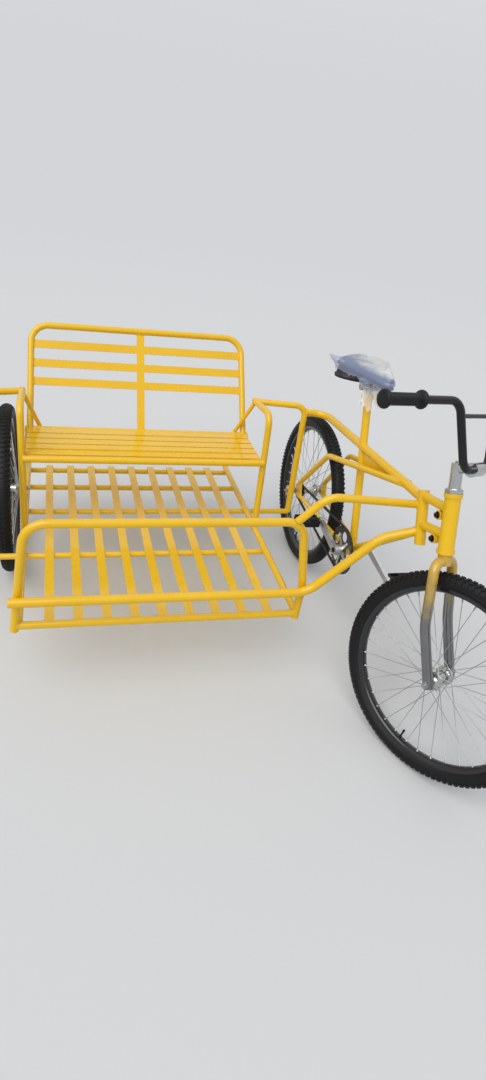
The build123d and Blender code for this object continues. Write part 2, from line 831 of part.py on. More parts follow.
with BuildPart() as rear_sprocket:
    centre = Vector(chain_x, rear_axle_y, wheel_r)
    hub_end_x = bike_x - 30.0 - hub_boss_length - 0.1
    toothed_disc(centre, rear_teeth, disc_thickness)
    rod((hub_end_x, rear_axle_y, wheel_r), (bike_x - sprocket_out, rear_axle_y, wheel_r), freewheel_d)
    with BuildSketch(Plane(centre - Vector(20, 0, 0), z_dir=(1, 0, 0))):
        Circle(axle_hole_d / 2)
    extrude(amount=60, mode=Mode.SUBTRACT)
save(rear_sprocket, "rear_sprocket")

# Crankset
crank_length = 170.0
crank_angle = 8.0  # right crank, above level and pointing back
crank_plane_x = 72.0
crank_thickness = 14.0
crank_root_width = 30.0
crank_tip_width = 22.0
crank_boss_d = 36.0
pedal_boss_d = 28.0
pedal_spindle = 104.0
pedal_pin_d = 9.0
spider_d = 40.0
ring_hole_d = 40.0
ring_hole_circle = 56.0
crank_way = Vector(0, 1, 0).rotate(Axis.X, crank_angle)
ring_centre = Vector(chain_x, bracket_y, bracket_z)
with BuildPart() as chainring:
    toothed_disc(ring_centre, ring_teeth, disc_thickness)
    with BuildSketch(Plane(ring_centre, z_dir=(1, 0, 0))):
        with PolarLocations(ring_hole_circle, 5):
            Circle(ring_hole_d / 2)
        Circle(spindle_d / 2)
    extrude(amount=disc_thickness, both=True, mode=Mode.SUBTRACT)
save(chainring, "chainring")

with BuildPart() as cranks:
    spindle_end = Vector(crank_plane_x + 8, 0, 0)
    rod(bracket - spindle_end, bracket + spindle_end, spindle_d)
    ring_face = ring_centre - Vector(disc_thickness / 2, 0, 0)
    rod(bracket - Vector(crank_plane_x, 0, 0), ring_face, spider_d)
    for side in (-1, 1):
        way = crank_way * -side
        root = bracket + Vector(side * (crank_plane_x - crank_thickness / 2), 0, 0)
        with BuildSketch(Plane(root, x_dir=way, z_dir=(side, 0, 0))):
            with BuildLine():
                Polyline(
                    (0, -crank_root_width / 2),
                    (crank_length, -crank_tip_width / 2),
                    (crank_length, crank_tip_width / 2),
                    (0, crank_root_width / 2),
                    close=True,
                )
            make_face()
            Circle(crank_boss_d / 2)
            with Locations((crank_length, 0)):
                Circle(pedal_boss_d / 2)
        extrude(amount=crank_thickness)
        end = root + way * crank_length + Vector(side * crank_thickness, 0, 0)
        rod(end, end + Vector(side * pedal_spindle, 0, 0), pedal_pin_d)
    add(chainring.part, mode=Mode.SUBTRACT)
save(cranks, "cranks")

pedal_length = 92.0
pedal_width = 62.0
pedal_height = 22.0
pedal_barrel_d = 24.0
pedal_gap = 6.0
window_length = pedal_length / 2 - 12
window_width = 18.0
for name, side in (("right_pedal", -1), ("left_pedal", 1)):
    tip = bracket + crank_way * (-side * crank_length)
    pedal_out = crank_plane_x + crank_thickness / 2 + pedal_gap + pedal_length / 2
    middle = tip + Vector(side * pedal_out, 0, 0)
    half_pedal = Vector(pedal_length / 2, 0, 0)
    with BuildPart() as pedal:
        with BuildSketch(Plane(middle)):
            RectangleRounded(pedal_length, pedal_width, 8)
            with GridLocations(pedal_length / 2 - 2, pedal_width - window_width - 8, 2, 2):
                RectangleRounded(window_length, window_width, 3, mode=Mode.SUBTRACT)
        extrude(amount=pedal_height / 2, both=True)
        rod(middle - half_pedal, middle + half_pedal, pedal_barrel_d)
        with BuildSketch(Plane(middle, z_dir=(1, 0, 0))):
            Circle(pedal_pin_d / 2 + bearing_clearance)
        extrude(amount=pedal_length, both=True, mode=Mode.SUBTRACT)
    save(pedal, name)

# Chain: two loops of side plates, joined between them on the straight runs
link_thickness = 1.4
link_height = 8.4
link_inside = 4.6  # between the inner faces of the side plates
chain_width = link_inside + 2 * link_thickness
wheels_on_chain = (
    ((bracket_y, bracket_z), pitch_radius(ring_teeth)),
    ((rear_axle_y, wheel_r), pitch_radius(rear_teeth)),
)
chain_plane = Plane((chain_x, 0, 0), x_dir=(0, 1, 0), z_dir=(1, 0, 0))


def chain_band(grow):
    """Outline round both toothed wheels, this far outside the roller line."""
    with BuildSketch(chain_plane) as band:
        for centre, radius in wheels_on_chain:
            with Locations(centre):
                Circle(radius + grow)
        make_hull()
    return band.sketch


with BuildPart() as chain:
    extrude(chain_band(link_height / 2), amount=chain_width / 2, both=True)
    inside = chain_band(-link_height / 2)
    extrude(inside, amount=chain_width / 2, both=True, mode=Mode.SUBTRACT)
    for centre, radius in wheels_on_chain:
        with BuildSketch(chain_plane):
            with Locations(centre):
                Circle(radius + link_height + 20)
        extrude(amount=link_inside / 2, both=True, mode=Mode.SUBTRACT)
save(chain, "chain")

# Seat clamp, saddle and seat post
post_way = (seat_tube_top - bracket).normalized()
seat_post_d = 25.4
seat_post_rise = 48.0
clamp_wall = 4.0
clamp_height = 18.0
with BuildPart() as seat_clamp:
    with BuildSketch(Plane(seat_tube_top, x_dir=(1, 0, 0), z_dir=post_way)):
        Circle(seat_tube_d / 2 + clamp_wall)
        with Locations((0, seat_tube_d / 2 + clamp_wall)):
            Rectangle(20, 14)
        Circle(seat_post_d / 2 + bearing_clearance, mode=Mode.SUBTRACT)
    extrude(amount=clamp_height)
save(seat_clamp, "seat_clamp")

saddle_nose_y = seat_tube_top_y - 124
saddle_base_z = seat_tube_top_z + 80
saddle_length = 275.0
saddle_width = 208.0
saddle_height = 42.0
saddle_edge = 16.0
saddle_outline = (  # from the nose to the tail: share of the half width, share of the length
    (0.25, 0.095),
    (0.33, 0.400),
    (0.85, 0.720),
    (0.77, 0.938),
    (0.0, 1.0),
)
with BuildPart() as saddle:
    with BuildSketch(Plane((bike_x, saddle_nose_y, saddle_base_z))):
        with BuildLine():
            start, way = (0.0, 0.0), (1.0, 0.0)
            for across, back in saddle_outline:
                stop = (saddle_width / 2 * across, saddle_length * back)
                arc = TangentArc(start, stop, tangent=way)
                start, way = stop, arc % 1
            mirror(about=Plane.YZ)
        make_face()
    extrude(amount=saddle_height)
    fillet(saddle.faces().sort_by(Axis.Z)[-1].edges(), saddle_edge)
save(saddle, "saddle")

rail_wire_d = 7.0
rail_drop = 20.0
rail_table = (  # sideways, back from the nose, down from the saddle's base
    (22.0, 60.0, 0.0),
    (22.0, 90.0, rail_drop),
    (22.0, 215.0, rail_drop),
    (42.0, 245.0, 0.0),
)
with BuildPart() as saddle_rails:
    for side in (-1, 1):
        tube(
            [
                (bike_x + side * out, saddle_nose_y + back, saddle_base_z - down)
                for out, back, down in rail_table
            ],
            rail_wire_d,
            (15, 15),
        )
    add(saddle.part, mode=Mode.SUBTRACT)
save(saddle_rails, "saddle_rails")

post_head_d = 30.0
post_head_width = 68.0
with BuildPart() as seat_post:
    head = seat_tube_top + post_way * seat_post_rise
    half_head = Vector(post_head_width / 2, 0, 0)
    rod(seat_tube_top, head, seat_post_d)
    rod(head - half_head, head + half_head, post_head_d)
    add(saddle_rails.part, mode=Mode.SUBTRACT)
save(seat_post, "seat_post")
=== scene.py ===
import bpy
import bmesh
import json
import numpy as np
from functools import partial
from math import radians
from mathutils.bvhtree import BVHTree
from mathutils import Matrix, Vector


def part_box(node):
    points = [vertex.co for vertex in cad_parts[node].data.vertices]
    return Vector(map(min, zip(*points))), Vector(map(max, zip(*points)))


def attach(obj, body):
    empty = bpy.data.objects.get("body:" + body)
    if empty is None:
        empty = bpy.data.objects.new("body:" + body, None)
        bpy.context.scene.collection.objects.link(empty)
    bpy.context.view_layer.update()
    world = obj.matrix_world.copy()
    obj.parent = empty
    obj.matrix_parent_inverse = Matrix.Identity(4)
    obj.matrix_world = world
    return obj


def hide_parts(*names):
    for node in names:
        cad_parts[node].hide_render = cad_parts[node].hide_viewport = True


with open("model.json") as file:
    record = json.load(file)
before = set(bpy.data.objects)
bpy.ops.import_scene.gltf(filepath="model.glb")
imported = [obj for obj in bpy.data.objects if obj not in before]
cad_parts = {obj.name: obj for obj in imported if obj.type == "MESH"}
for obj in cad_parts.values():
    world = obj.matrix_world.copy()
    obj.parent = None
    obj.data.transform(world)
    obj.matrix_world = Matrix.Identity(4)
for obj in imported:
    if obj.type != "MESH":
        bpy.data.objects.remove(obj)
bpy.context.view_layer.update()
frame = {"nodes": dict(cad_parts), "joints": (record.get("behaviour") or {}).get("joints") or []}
nodes = frame["nodes"]
joints = {joint["name"]: joint for joint in frame["joints"]}

# The camera stands where the phone was held: about eye height and ahead of the sidecar,
# looking down along the machine with a wide lens.
eye = bpy.data.objects.new("eye", bpy.data.cameras.new("eye"))
eye.location = (-0.5635, -1.7127, 1.5948)
eye.rotation_euler = [radians(turn) for turn in (57.219, -7.542, -12.783)]
eye.data.sensor_fit = "VERTICAL"
eye.data.sensor_height = 36.0
eye.data.lens = 20.84
eye.data.shift_x = 0.0198
eye.data.shift_y = -0.0029
bpy.context.collection.objects.link(eye)
bpy.context.scene.camera = eye
bpy.context.scene.view_settings.view_transform = "Standard"


# The stage is a pale grey floor that fades into the horizon of an even studio sky, which
# grows brighter overhead. One broad soft lamp stands high in front, on the left.
def linear(code):
    """Linear colour of an sRGB hex code: each channel through the inverse sRGB curve."""
    srgb = np.array([int(code[i:i + 2], 16) for i in (1, 3, 5)]) / 255
    curve = np.where(srgb <= 0.04045, srgb / 12.92, ((srgb + 0.055) / 1.055) ** 2.4)
    return (*curve, 1.0)


def node(tree, kind, inputs, out=0, **settings):
    """Adds one shader node with its settings and its inputs, given as values, hex codes or
    links, and hands back its first output or the one that is asked for."""
    made = tree.nodes.new("ShaderNode" + kind)
    for name, value in settings.items():
        setattr(made, name, value)
    for socket, value in inputs.items():
        if isinstance(value, bpy.types.NodeSocket):
            tree.links.new(value, made.inputs[socket])
        else:
            value = linear(value) if isinstance(value, str) else value
            made.inputs[socket].default_value = value
    return made.outputs[out] if made.outputs else None


def bare_material(name):
    """A new material, what adds a node to its empty tree, and its object's place."""
    material = bpy.data.materials.new(name)
    material.use_nodes = True
    material.node_tree.nodes.clear()
    add = partial(node, material.node_tree)
    return material, add, add("TexCoord", {}, out="Object")


def piece(name, points, faces, material, smooth=True):
    """A mesh object from an array of points and an array or list of faces."""
    mesh = bpy.data.meshes.new(name)
    mesh.from_pydata(np.asarray(points).reshape(-1, 3).tolist(), [], [list(f) for f in faces])
    whole = bmesh.new()
    whole.from_mesh(mesh)
    bmesh.ops.remove_doubles(whole, verts=whole.verts, dist=1e-6)
    whole.to_mesh(mesh)
    whole.free()
    mesh.polygons.foreach_set("use_smooth", np.full(len(mesh.polygons), smooth))
    mesh.materials.append(material)
    made = bpy.data.objects.new(name, mesh)
    bpy.context.collection.objects.link(made)
    return made


floor_reach = 60.0
floor_fade = (3.0, 11.0)
horizon = "#D3D5D8"
overhead = "#FFFFFF"
floor_paint, add, place = bare_material("matt_floor_paint")
reach = add("VectorMath", {0: place}, out="Value", operation="LENGTH")
faded = add(
    "MapRange", {"Value": reach, "From Min": floor_fade[0], "From Max": floor_fade[1]},
    interpolation_type="SMOOTHSTEP",
)
matt = add("BsdfDiffuse", {"Color": "#D3D6DA"})
far = add("Emission", {"Color": horizon})
ground = add("MixShader", {0: faded, 1: matt, 2: far})
add("OutputMaterial", {"Surface": ground})
corners = np.array([(-1, -1, 0), (1, -1, 0), (1, 1, 0), (-1, 1, 0)]) * floor_reach
floor = piece("floor", corners, [(0, 1, 2, 3)], floor_paint)

sky_light = 0.6
world = bpy.data.worlds.new("studio_sky")
bpy.context.scene.world = world
world.use_nodes = True
world.node_tree.nodes.clear()
add = partial(node, world.node_tree)
way_up = add("SeparateXYZ", {0: add("TexCoord", {}, out="Generated")}, out=2)
rise = add(
    "MapRange", {"Value": way_up, "From Min": 0.05, "From Max": 0.75},
    interpolation_type="SMOOTHSTEP",
)
tint = add("Mix", {0: rise, 6: horizon, 7: overhead}, out=2, data_type="RGBA")
rays = add("LightPath", {}).node.outputs
seen = add("Math", {0: rays["Is Camera Ray"], 1: rays["Is Glossy Ray"]}, operation="ADD")
seen = add("Math", {0: seen, 1: rays["Is Transmission Ray"]}, operation="ADD", use_clamp=True)
level = add("MapRange", {"Value": seen, "To Min": sky_light, "To Max": 1.0})
sky = add("Background", {"Color": tint, "Strength": level})
add("OutputWorld", {"Surface": sky})

lamp = bpy.data.objects.new("soft_lamp", bpy.data.lights.new("soft_lamp", "SUN"))
lamp.data.energy = 1.9
lamp.data.angle = radians(55)
lamp.data.color = linear("#FFFCF6")[:3]
lamp.rotation_euler = (radians(26), radians(-30), 0)
bpy.context.collection.objects.link(lamp)


# The frame of sidecar and bicycle is mild steel tube and flat bar, cut, bent and welded by
# hand. It is sprayed in glossy yellow enamel: a deep warm yellow with a wet shine, a
# little uneven in thickness, and the faintest road dust on what faces up.
frame_parts = (
    "guard_rail front_bar side_rails cross_tubes platform_slats head_tube head_post lower_brace "
    "upper_brace armrests link_bars outer_rail axle_plates seat_frame seat_slats back_frame "
    "back_slats bottom_bracket seat_tube top_tube down_tube chain_stays seat_stays headset_cups "
    "seat_clamp"
).split()
patch_size = 0.22
peel_size = 0.004
grit_size = 0.06
enamel, add, place = bare_material("yellow_gloss_enamel")
patches = add("TexNoise", {"Vector": place, "Scale": 1 / patch_size, "Detail": 2})
tone = add("Mix", {0: patches, 6: "#E2B200", 7: "#EFC20C"}, out=2, data_type="RGBA")
height = add("SeparateXYZ", {0: add("NewGeometry", {}, out="Normal")}, out=2)
upward = add("MapRange", {"Value": height, "From Min": 0.5, "To Max": 0.07})
grit = add("TexNoise", {"Vector": place, "Scale": 1 / grit_size, "Detail": 4})
dusty = add("Math", {0: upward, 1: grit}, operation="MULTIPLY")
dusted = add("Mix", {0: dusty, 6: tone, 7: "#E8DDB4"}, out=2, data_type="RGBA")
peel = add("TexNoise", {"Vector": place, "Scale": 1 / peel_size, "Detail": 1})
bump = add("Bump", {"Height": peel, "Strength": 0.15, "Distance": 0.0004})
shine = add("MapRange", {"Value": grit, "To Min": 0.22, "To Max": 0.34})
skin = add("BsdfPrincipled", {
    "Base Color": dusted, "Roughness": shine, "Normal": bump, "Coat Weight": 0.5,
    "Coat Roughness": 0.06, "Specular IOR Level": 0.3,
})
add("OutputMaterial", {"Surface": skin})


def dress(names, material):
    """Gives CAD pieces their finish."""
    for name in names:
        nodes[name].data.materials.clear()
        nodes[name].data.materials.append(material)


dress(frame_parts, enamel)

# Every joint of the frame is arc welded by hand: a rippled bead of melted rod runs round
# the seam and is painted over with the tubes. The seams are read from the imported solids.
welded = [name for name in frame_parts if name not in ("headset_cups", "seat_clamp")]
bicycle_parts = (
    "head_tube head_post bottom_bracket seat_tube top_tube down_tube chain_stays seat_stays"
).split()
seam_gap = 0.0004
sharp_turn = radians(22)
hollow_rise = 1e-7
straight_share = 0.12
closing_gap, closing_share = 0.008, 0.25
shortest_bead = 0.012
bead_r = 0.0024
bead_sides = 6
bead_step = 0.001
ripple_pitch = 0.0032
ripple_share = 0.17
tack_half = 0.0065
top_band = 0.0002
level_gap = 0.004
# A direction that no straight seam runs along
across_seams = (0.31, 0.52, 0.79)


def cad_points(name):
    """Corners of a CAD piece, one row each."""
    mesh = nodes[name].data
    points = np.empty(len(mesh.vertices) * 3, np.float32)
    mesh.vertices.foreach_get("co", points)
    return points.reshape(-1, 3).astype(float)


def shell(name):
    """Points and triangles of a CAD piece, with corners at one place made one point."""
    loops = nodes[name].data.loops
    corners = np.empty(len(loops), np.int32)
    loops.foreach_get("vertex_index", corners)
    points, place_of = np.unique(cad_points(name).round(5), axis=0, return_inverse=True)
    faces = place_of.reshape(-1)[corners].reshape(-1, 3)
    whole = (faces != np.roll(faces, 1, axis=1)).all(1)
    return points, faces[whole]


def unit(ways):
    """Directions at length one: each way over its own length."""
    return ways / np.maximum(np.linalg.norm(ways, axis=-1, keepdims=True), 1e-15)


def turns(count):
    """Angles once round, in equal steps."""
    return np.arange(count) / count * 2 * np.pi


def circles(aside, other, sides):
    """Unit circles in the planes of two lists of ways: aside cos(turn) + other sin(turn)."""
    turn = turns(sides)[:, None]
    return aside[:, None] * np.cos(turn) + other[:, None] * np.sin(turn)


shells = {name: shell(name) for name in welded}
skins = {name: BVHTree.FromPolygons(*(part.tolist() for part in shells[name])) for name in welded}


def grid_faces(rows, columns, wrap_rows, wrap_columns):
    """Quads of a rows-by-columns grid of points, closed on itself in one or both ways."""
    r = np.arange(rows if wrap_rows else rows - 1)[:, None]
    c = np.arange(columns if wrap_columns else columns - 1)[None, :]
    right, down = (c + 1) % columns, (r + 1) % rows
    corners = (r * columns + c, r * columns + right, down * columns + right, down * columns + c)
    return np.stack(corners, -1).reshape(-1, 4)


def seam_edges(name):
    """Point pairs of the edges that carry weld: hollow ones, and sharp ones that lie on
    another piece. An edge is sharp where its two faces differ by more than sharp_turn, and
    hollow where the second face's middle stands above the first face."""
    points, faces = shells[name]
    corner = points[faces]
    normal = unit(np.cross(corner[:, 1] - corner[:, 0], corner[:, 2] - corner[:, 0]))
    middle = corner.mean(1)
    edge = np.sort(np.concatenate((faces[:, [0, 1]], faces[:, [1, 2]], faces[:, [2, 0]])), axis=1)
    owner = np.tile(np.arange(len(faces)), 3)
    edge, which, shared = np.unique(edge, axis=0, return_inverse=True, return_counts=True)
    order = np.argsort(which.reshape(-1), kind="stable")
    start = np.cumsum(shared) - shared
    pair = shared == 2
    first, second = owner[order[start[pair]]], owner[order[start[pair] + 1]]
    edge = edge[pair]
    sharp = (normal[first] * normal[second]).sum(1) < np.cos(sharp_turn)
    hollow = ((middle[second] - middle[first]) * normal[first]).sum(1) > hollow_rise
    rims = np.unique(edge[sharp & ~hollow])
    near = np.zeros(len(points), bool)
    for other in welded:
        low, high = shells[other][0].min(0) - seam_gap, shells[other][0].max(0) + seam_gap
        close = rims[((points[rims] > low) & (points[rims] < high)).all(1)]
        if other != name and len(close):
            gaps = [skins[other].find_nearest(point)[3] for point in points[close]]
            near[close[np.array(gaps) < seam_gap]] = True
    edge = edge[sharp & (hollow | near[edge].all(1))]
    ends = np.bincount(edge.ravel(), minlength=len(points))
    return edge[(ends[edge] <= 2).all(1)]


def seams(name):
    """Splits a piece's seam edges into joined runs, each a line of points in order.

    Points take the lowest label of what they join until nothing changes. A run that goes
    round is put in order by its turn about its middle, a straight one by its length.
    """
    points = shells[name][0]
    edge = seam_edges(name)
    label = np.arange(len(points))
    before = None
    while before is None or (label != before).any():
        before = label.copy()
        lowest = before[edge].min(1)
        np.minimum.at(label, edge[:, 0], lowest)
        np.minimum.at(label, edge[:, 1], lowest)
    used = np.unique(edge)
    lines = []
    for first in np.unique(label[used]):
        line = points[used[label[used] == first]]
        middle = line.mean(0)
        _, spread, way = np.linalg.svd(line - middle, full_matrices=False)
        if len(line) < 3 or spread[1] < straight_share * spread[0]:
            line = line[np.argsort((line - middle) @ way[0])]
            closed = False
        else:
            turn = np.arctan2((line - middle) @ way[1], (line - middle) @ way[0])
            line = line[np.argsort(turn)]
            gap = np.linalg.norm(line - np.roll(line, 1, axis=0), axis=1)
            widest = gap.argmax()
            closed = gap[widest] < max(closing_gap, closing_share * gap.sum())
            line = np.roll(line, -widest, axis=0)
        lines.append((line, closed))
    return lines


def bead(line, closed):
    """Rippled tube: a small circle carried along the line, its radius swelling once each
    ripple_pitch and shrinking to nothing at the ends of an open line."""
    if closed:
        line = np.concatenate((line, line[:1]))
    run = np.concatenate(([0], np.cumsum(np.linalg.norm(np.diff(line, axis=0), axis=1))))
    length = run[-1]
    if length < shortest_bead:
        return None
    at = np.linspace(0, length, max(int(length / bead_step), 8), endpoint=not closed)
    middle = np.stack([np.interp(at, run, line[:, i]) for i in range(3)], 1)
    if closed:
        way = unit(np.roll(middle, -2, axis=0) - np.roll(middle, 2, axis=0))
        aside = middle - middle.mean(0)
    else:
        way = unit(np.gradient(middle, axis=0))
        aside = np.broadcast_to(across_seams, middle.shape)
    aside = unit(aside - way * (aside * way).sum(1, keepdims=True))
    ripples = max(round(length / ripple_pitch), 1)
    radius = bead_r * (1 + ripple_share * np.cos(2 * np.pi * ripples * at / length))
    if not closed:
        radius = radius * np.sqrt(np.clip(np.minimum(at, length - at) / bead_r, 0, 1))
    out = circles(aside, np.cross(way, aside), bead_sides) * radius[:, None, None]
    return middle[:, None] + out, grid_faces(len(at), bead_sides, closed, True)


def joined(parts):
    """Several grids of points and their faces as one list of points and one of faces."""
    points = [np.asarray(part[0]).reshape(-1, 3) for part in parts]
    starts = np.cumsum([0] + [len(p) for p in points[:-1]])
    faces = [np.asarray(part[1]) + start for part, start in zip(parts, starts)]
    return np.concatenate(points), np.concatenate(faces)


def levels(name, axis):
    """The separate places along an axis of a CAD piece's topmost corners."""
    points = shells[name][0]
    values = np.sort(points[points[:, 2] > points[:, 2].max() - top_band, axis])
    return values[np.concatenate(([True], np.diff(values) > level_gap))]


def tacks(across_name, along_name, axis):
    """Lines of the short beads where a slat's two edges cross a tube, as long as the tube
    is wide. Axis is the slats' own crosswise one."""
    height = shells[across_name][0][:, 2].min()
    lines = []
    for edge in levels(across_name, axis):
        for middle in levels(along_name, 1 - axis):
            line = np.full((2, 3), height)
            line[:, axis] = edge
            line[:, 1 - axis] = middle - tack_half, middle + tack_half
            lines.append((line, False))
    return lines


def weld(name, parts, more=()):
    """One piece of the beads on these parts' seams and along more lines, painted as the
    frame is."""
    lines = [line for part in parts for line in seams(part)]
    made = [part for part in (bead(*line) for line in (*lines, *more)) if part is not None]
    beads = piece(name, *joined(made), enamel)
    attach(beads, "chassis")


sidecar_parts = [name for name in welded if name not in bicycle_parts]
weld("sidecar_welds", sidecar_parts, tacks("platform_slats", "cross_tubes", 0))
weld("bicycle_welds", bicycle_parts)


# The tyres are moulded black rubber with a knobby tread: a row of chevron blocks on the
# crown, a staggered row beside it and square shoulder knobs that show in the outline.
# Rubber straight from the mould is nearly black, dull, and greyed by dust in its grain.
tyre_low, tyre_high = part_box("rear_tyre")
wheel_r = (tyre_high.z - tyre_low.z) / 2
knob_height = 0.0033
casing_r = 0.0242
casing_circle = wheel_r - knob_height - casing_r
# Round the casing from the crown, in radians: how far the chevrons lean, where the wall
# starts to flare out to the rim, and where it ends
crown_turn, flare_turn, bead_turn = 1.4, 2.35, 2.595
flare_height = 0.002
knob_pitches = 108
# Along one pitch: crown and shoulder blocks stand in the first half, the row between in
# the second.
pitch_steps = np.array([0, 0.06, 0.40, 0.46, 0.50, 0.56, 0.90, 0.96])
first_half = np.array([0, 1, 1, 0, 0, 0, 0, 0])
second_half = np.array([0, 0, 0, 0, 0, 1, 1, 0])
# From the crown to the bead, in millimetres round the casing: arc, stands in first half,
# stands in second half, moulded rib
tread = np.array([
    (0.0, 1, 0, 0), (3.2, 1, 0, 0), (6.2, 1, 0, 0), (7.0, 0, 0, 0), (9.2, 0, 0, 0),
    (10.0, 0, 1, 0), (13.2, 0, 1, 0), (16.4, 0, 1, 0), (17.2, 0, 0, 0), (19.4, 0, 0, 0),
    (20.2, 1, 0, 0), (24.2, 1, 0, 0), (28.4, 1, 0, 0), (29.8, 0, 0, 0), (33.5, 0, 0, 0),
    (37.5, 0, 0, 0), (42.0, 0, 0, 0), (42.8, 0, 0, 1), (44.2, 0, 0, 1), (45.0, 0, 0, 0),
    (49.5, 0, 0, 0), (54.0, 0, 0, 0), (58.5, 0, 0, 0), (62.8, 0, 0, 0),
])
rib_height = 0.0009
chevron_lean = 0.35


def round_axle(centre, way, along, radius, turn):
    """Points at a distance along an axis, at a radius from it, and at a turn about it that
    starts from the top."""
    way = unit(np.asarray(way, float))
    guide = (0, 0, 1) if abs(way[2]) < 0.8 else (0, 1, 0)
    up = unit(np.cross(np.cross(way, guide), way))
    ahead = np.cross(way, up)
    along, radius, turn = (v[..., None] for v in np.broadcast_arrays(along, radius, turn))
    out = up * np.cos(turn) + ahead * np.sin(turn)
    return np.asarray(centre, float) + way * along + out * radius


def wheel_place(name, across, radius, turn):
    """Points at a distance along a wheel's axle, at a radius from it and a turn about it."""
    joint = joints[name + "_wheel_spin"]
    return round_axle(joint["pos_m"], joint["axis"], across, radius, turn)


def knobby_tyre(name):
    """Torus of a round casing whose radius gains the knob height where a block stands.

    A point of the section lies at casing_r + height from the casing's centre circle, turned
    from the crown by its arc over casing_r, and the whole section is swept once round.
    """
    arc = np.concatenate((-tread[:0:-1, 0], tread[:, 0])) / 1000
    first, second, rib = (np.concatenate((tread[:0:-1, i], tread[:, i])) for i in (1, 2, 3))
    turn = (np.arange(knob_pitches)[:, None] + pitch_steps) / knob_pitches * 2 * np.pi
    turn = turn.reshape(-1, 1)
    stands = np.tile(first_half, knob_pitches)[:, None] * first
    stands = stands + np.tile(second_half, knob_pitches)[:, None] * second
    section = arc / casing_r
    flare = np.clip((np.abs(section) - flare_turn) / (bead_turn - flare_turn), 0, 1)
    out = casing_r + knob_height * stands + rib_height * rib + flare_height * flare ** 2
    lean = turn + chevron_lean * np.abs(arc) / wheel_r * (np.abs(section) < crown_turn)
    points = wheel_place(name, out * np.sin(section), casing_circle + out * np.cos(section), lean)
    return points, grid_faces(len(turn), len(arc), True, True)


rubber, add, place = bare_material("moulded_tyre_rubber")
dust = add("TexNoise", {"Vector": place, "Scale": 1 / 0.03, "Detail": 8, "Roughness": 0.7})
dusty = add("MapRange", {"Value": dust, "From Min": 0.5, "From Max": 0.8, "To Max": 0.3})
tone = add("Mix", {0: dusty, 6: "#08090C", 7: "#232220"}, out=2, data_type="RGBA")
grain = add("TexNoise", {"Vector": place, "Scale": 1 / 0.0016, "Detail": 2})
bump = add("Bump", {"Height": grain, "Strength": 0.3, "Distance": 0.0003})
skin = add("BsdfPrincipled", {
    "Base Color": tone, "Roughness": 0.55, "Specular IOR Level": 0.3, "Normal": bump,
})
add("OutputMaterial", {"Surface": skin})

wheels = ("front", "rear", "side")
for name in wheels:
    tyre = piece(name + "_knobby_tyre", *knobby_tyre(name), rubber, smooth=False)
    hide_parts(name + "_tyre")
    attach(tyre, name + "_wheel")

# The rims are rolled from an aluminium channel: two side walls that stand out round the
# tyre's edges, and a bed that curves in to the spokes. They are coated black, with a gloss
# that shows as thin bright lines.
rim_half_width = 0.016
rim_drop, rim_deep = 0.0435, 0.0196
rim_r = wheel_r - rim_drop
rim_bed = rim_r - rim_deep
# Millimetres in from the wheel's side, and down from the rim's edge
rim_section = np.array([
    (3.8, 4.2), (3.8, 0.5), (3.2, 0.0), (0.9, 0.0), (0.2, 0.5), (0.0, 1.4), (0.0, 9.6),
    (0.5, 11.6), (1.8, 13.6), (4.4, 15.8), (7.4, 17.6), (10.6, 19.0), (13.4, 19.6), (16.0, 19.7),
]) / 1000
rim_steps = 160


def cloud(add, place, patch, detail, colours, shine, more, lowest=0.0):
    """Surface that one soft noise varies, with patches this wide in metres: as it rises, the
    colour goes from the first to the last, and above its lowest value the roughness does
    too. More is what else the surface is given."""
    noise = add("TexNoise", {"Vector": place, "Scale": 1 / patch, "Detail": detail})
    tone = add("Mix", {0: noise, 6: colours[0], 7: colours[-1]}, out=2, data_type="RGBA")
    span = {"From Min": lowest, "To Min": shine[0], "To Max": shine[1]}
    gloss = add("MapRange", {"Value": noise, **span})
    skin = add("BsdfPrincipled", {"Base Color": tone, "Roughness": gloss, **more})
    add("OutputMaterial", {"Surface": skin})


alloy, add, place = bare_material("black_gloss_rim_alloy")
cloud(add, place, 0.05, 3, ["#101114"], (0.14, 0.26), {"Coat Weight": 0.3})


def lathed(centre, way, profile, steps, closed=False):
    """Surface of revolution: each row of the profile is a distance along the axis and a
    radius from it, in metres, carried once round the axis in equal steps."""
    along, radius = np.asarray(profile, float).T[:, :, None]
    points = round_axle(centre, way, along, radius, turns(steps))
    return points, grid_faces(len(along), steps, closed, True)


def lathed_on(name, profile, steps, closed):
    """A profile carried round one wheel's axle."""
    joint = joints[name + "_wheel_spin"]
    return lathed(joint["pos_m"], joint["axis"], profile, steps, closed)


half = np.stack((rim_section[:, 0] - rim_half_width, rim_r - rim_section[:, 1]), 1)
rim_profile = np.concatenate((half, half[-2::-1] * (-1, 1)))
for name in wheels:
    rim = piece(name + "_rolled_rim", *lathed_on(name, rim_profile, rim_steps, True), alloy)
    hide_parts(name + "_rim")
    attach(rim, name + "_wheel")

# Each wheel has 36 drawn steel spokes laced three across, zinc plated, with a bent head in
# the hub flange and a threaded nipple at the rim.
spoke_count = 36
spoke_r = 0.00105
nipple_r = 0.0021
eyelet_r = 0.0036
flange_r = 0.024
spoke_lead = radians(62)
flange_out = {"front": 0.032, "rear": 0.030, "side": 0.032}
# Where a spoke's head lies beside the flange, for trailing and leading spokes
head_beside = (-0.0029, 0.0039)
rim_stagger = 0.003
nipple_rise = 0.002
# Share of the way from the flange to the rim, radius: bent head, shank, nipple, eyelet
spoke_stations = (0, 0, 0.006, 0.012, 0.94, 0.945, 0.984, 0.987, 1, 1)
spoke_radii = (
    0, nipple_r, nipple_r, spoke_r, spoke_r, nipple_r, nipple_r, eyelet_r, eyelet_r, 0,
)
# A direction that no rod runs along
across_rods = (0.37, 0.51, 0.78)


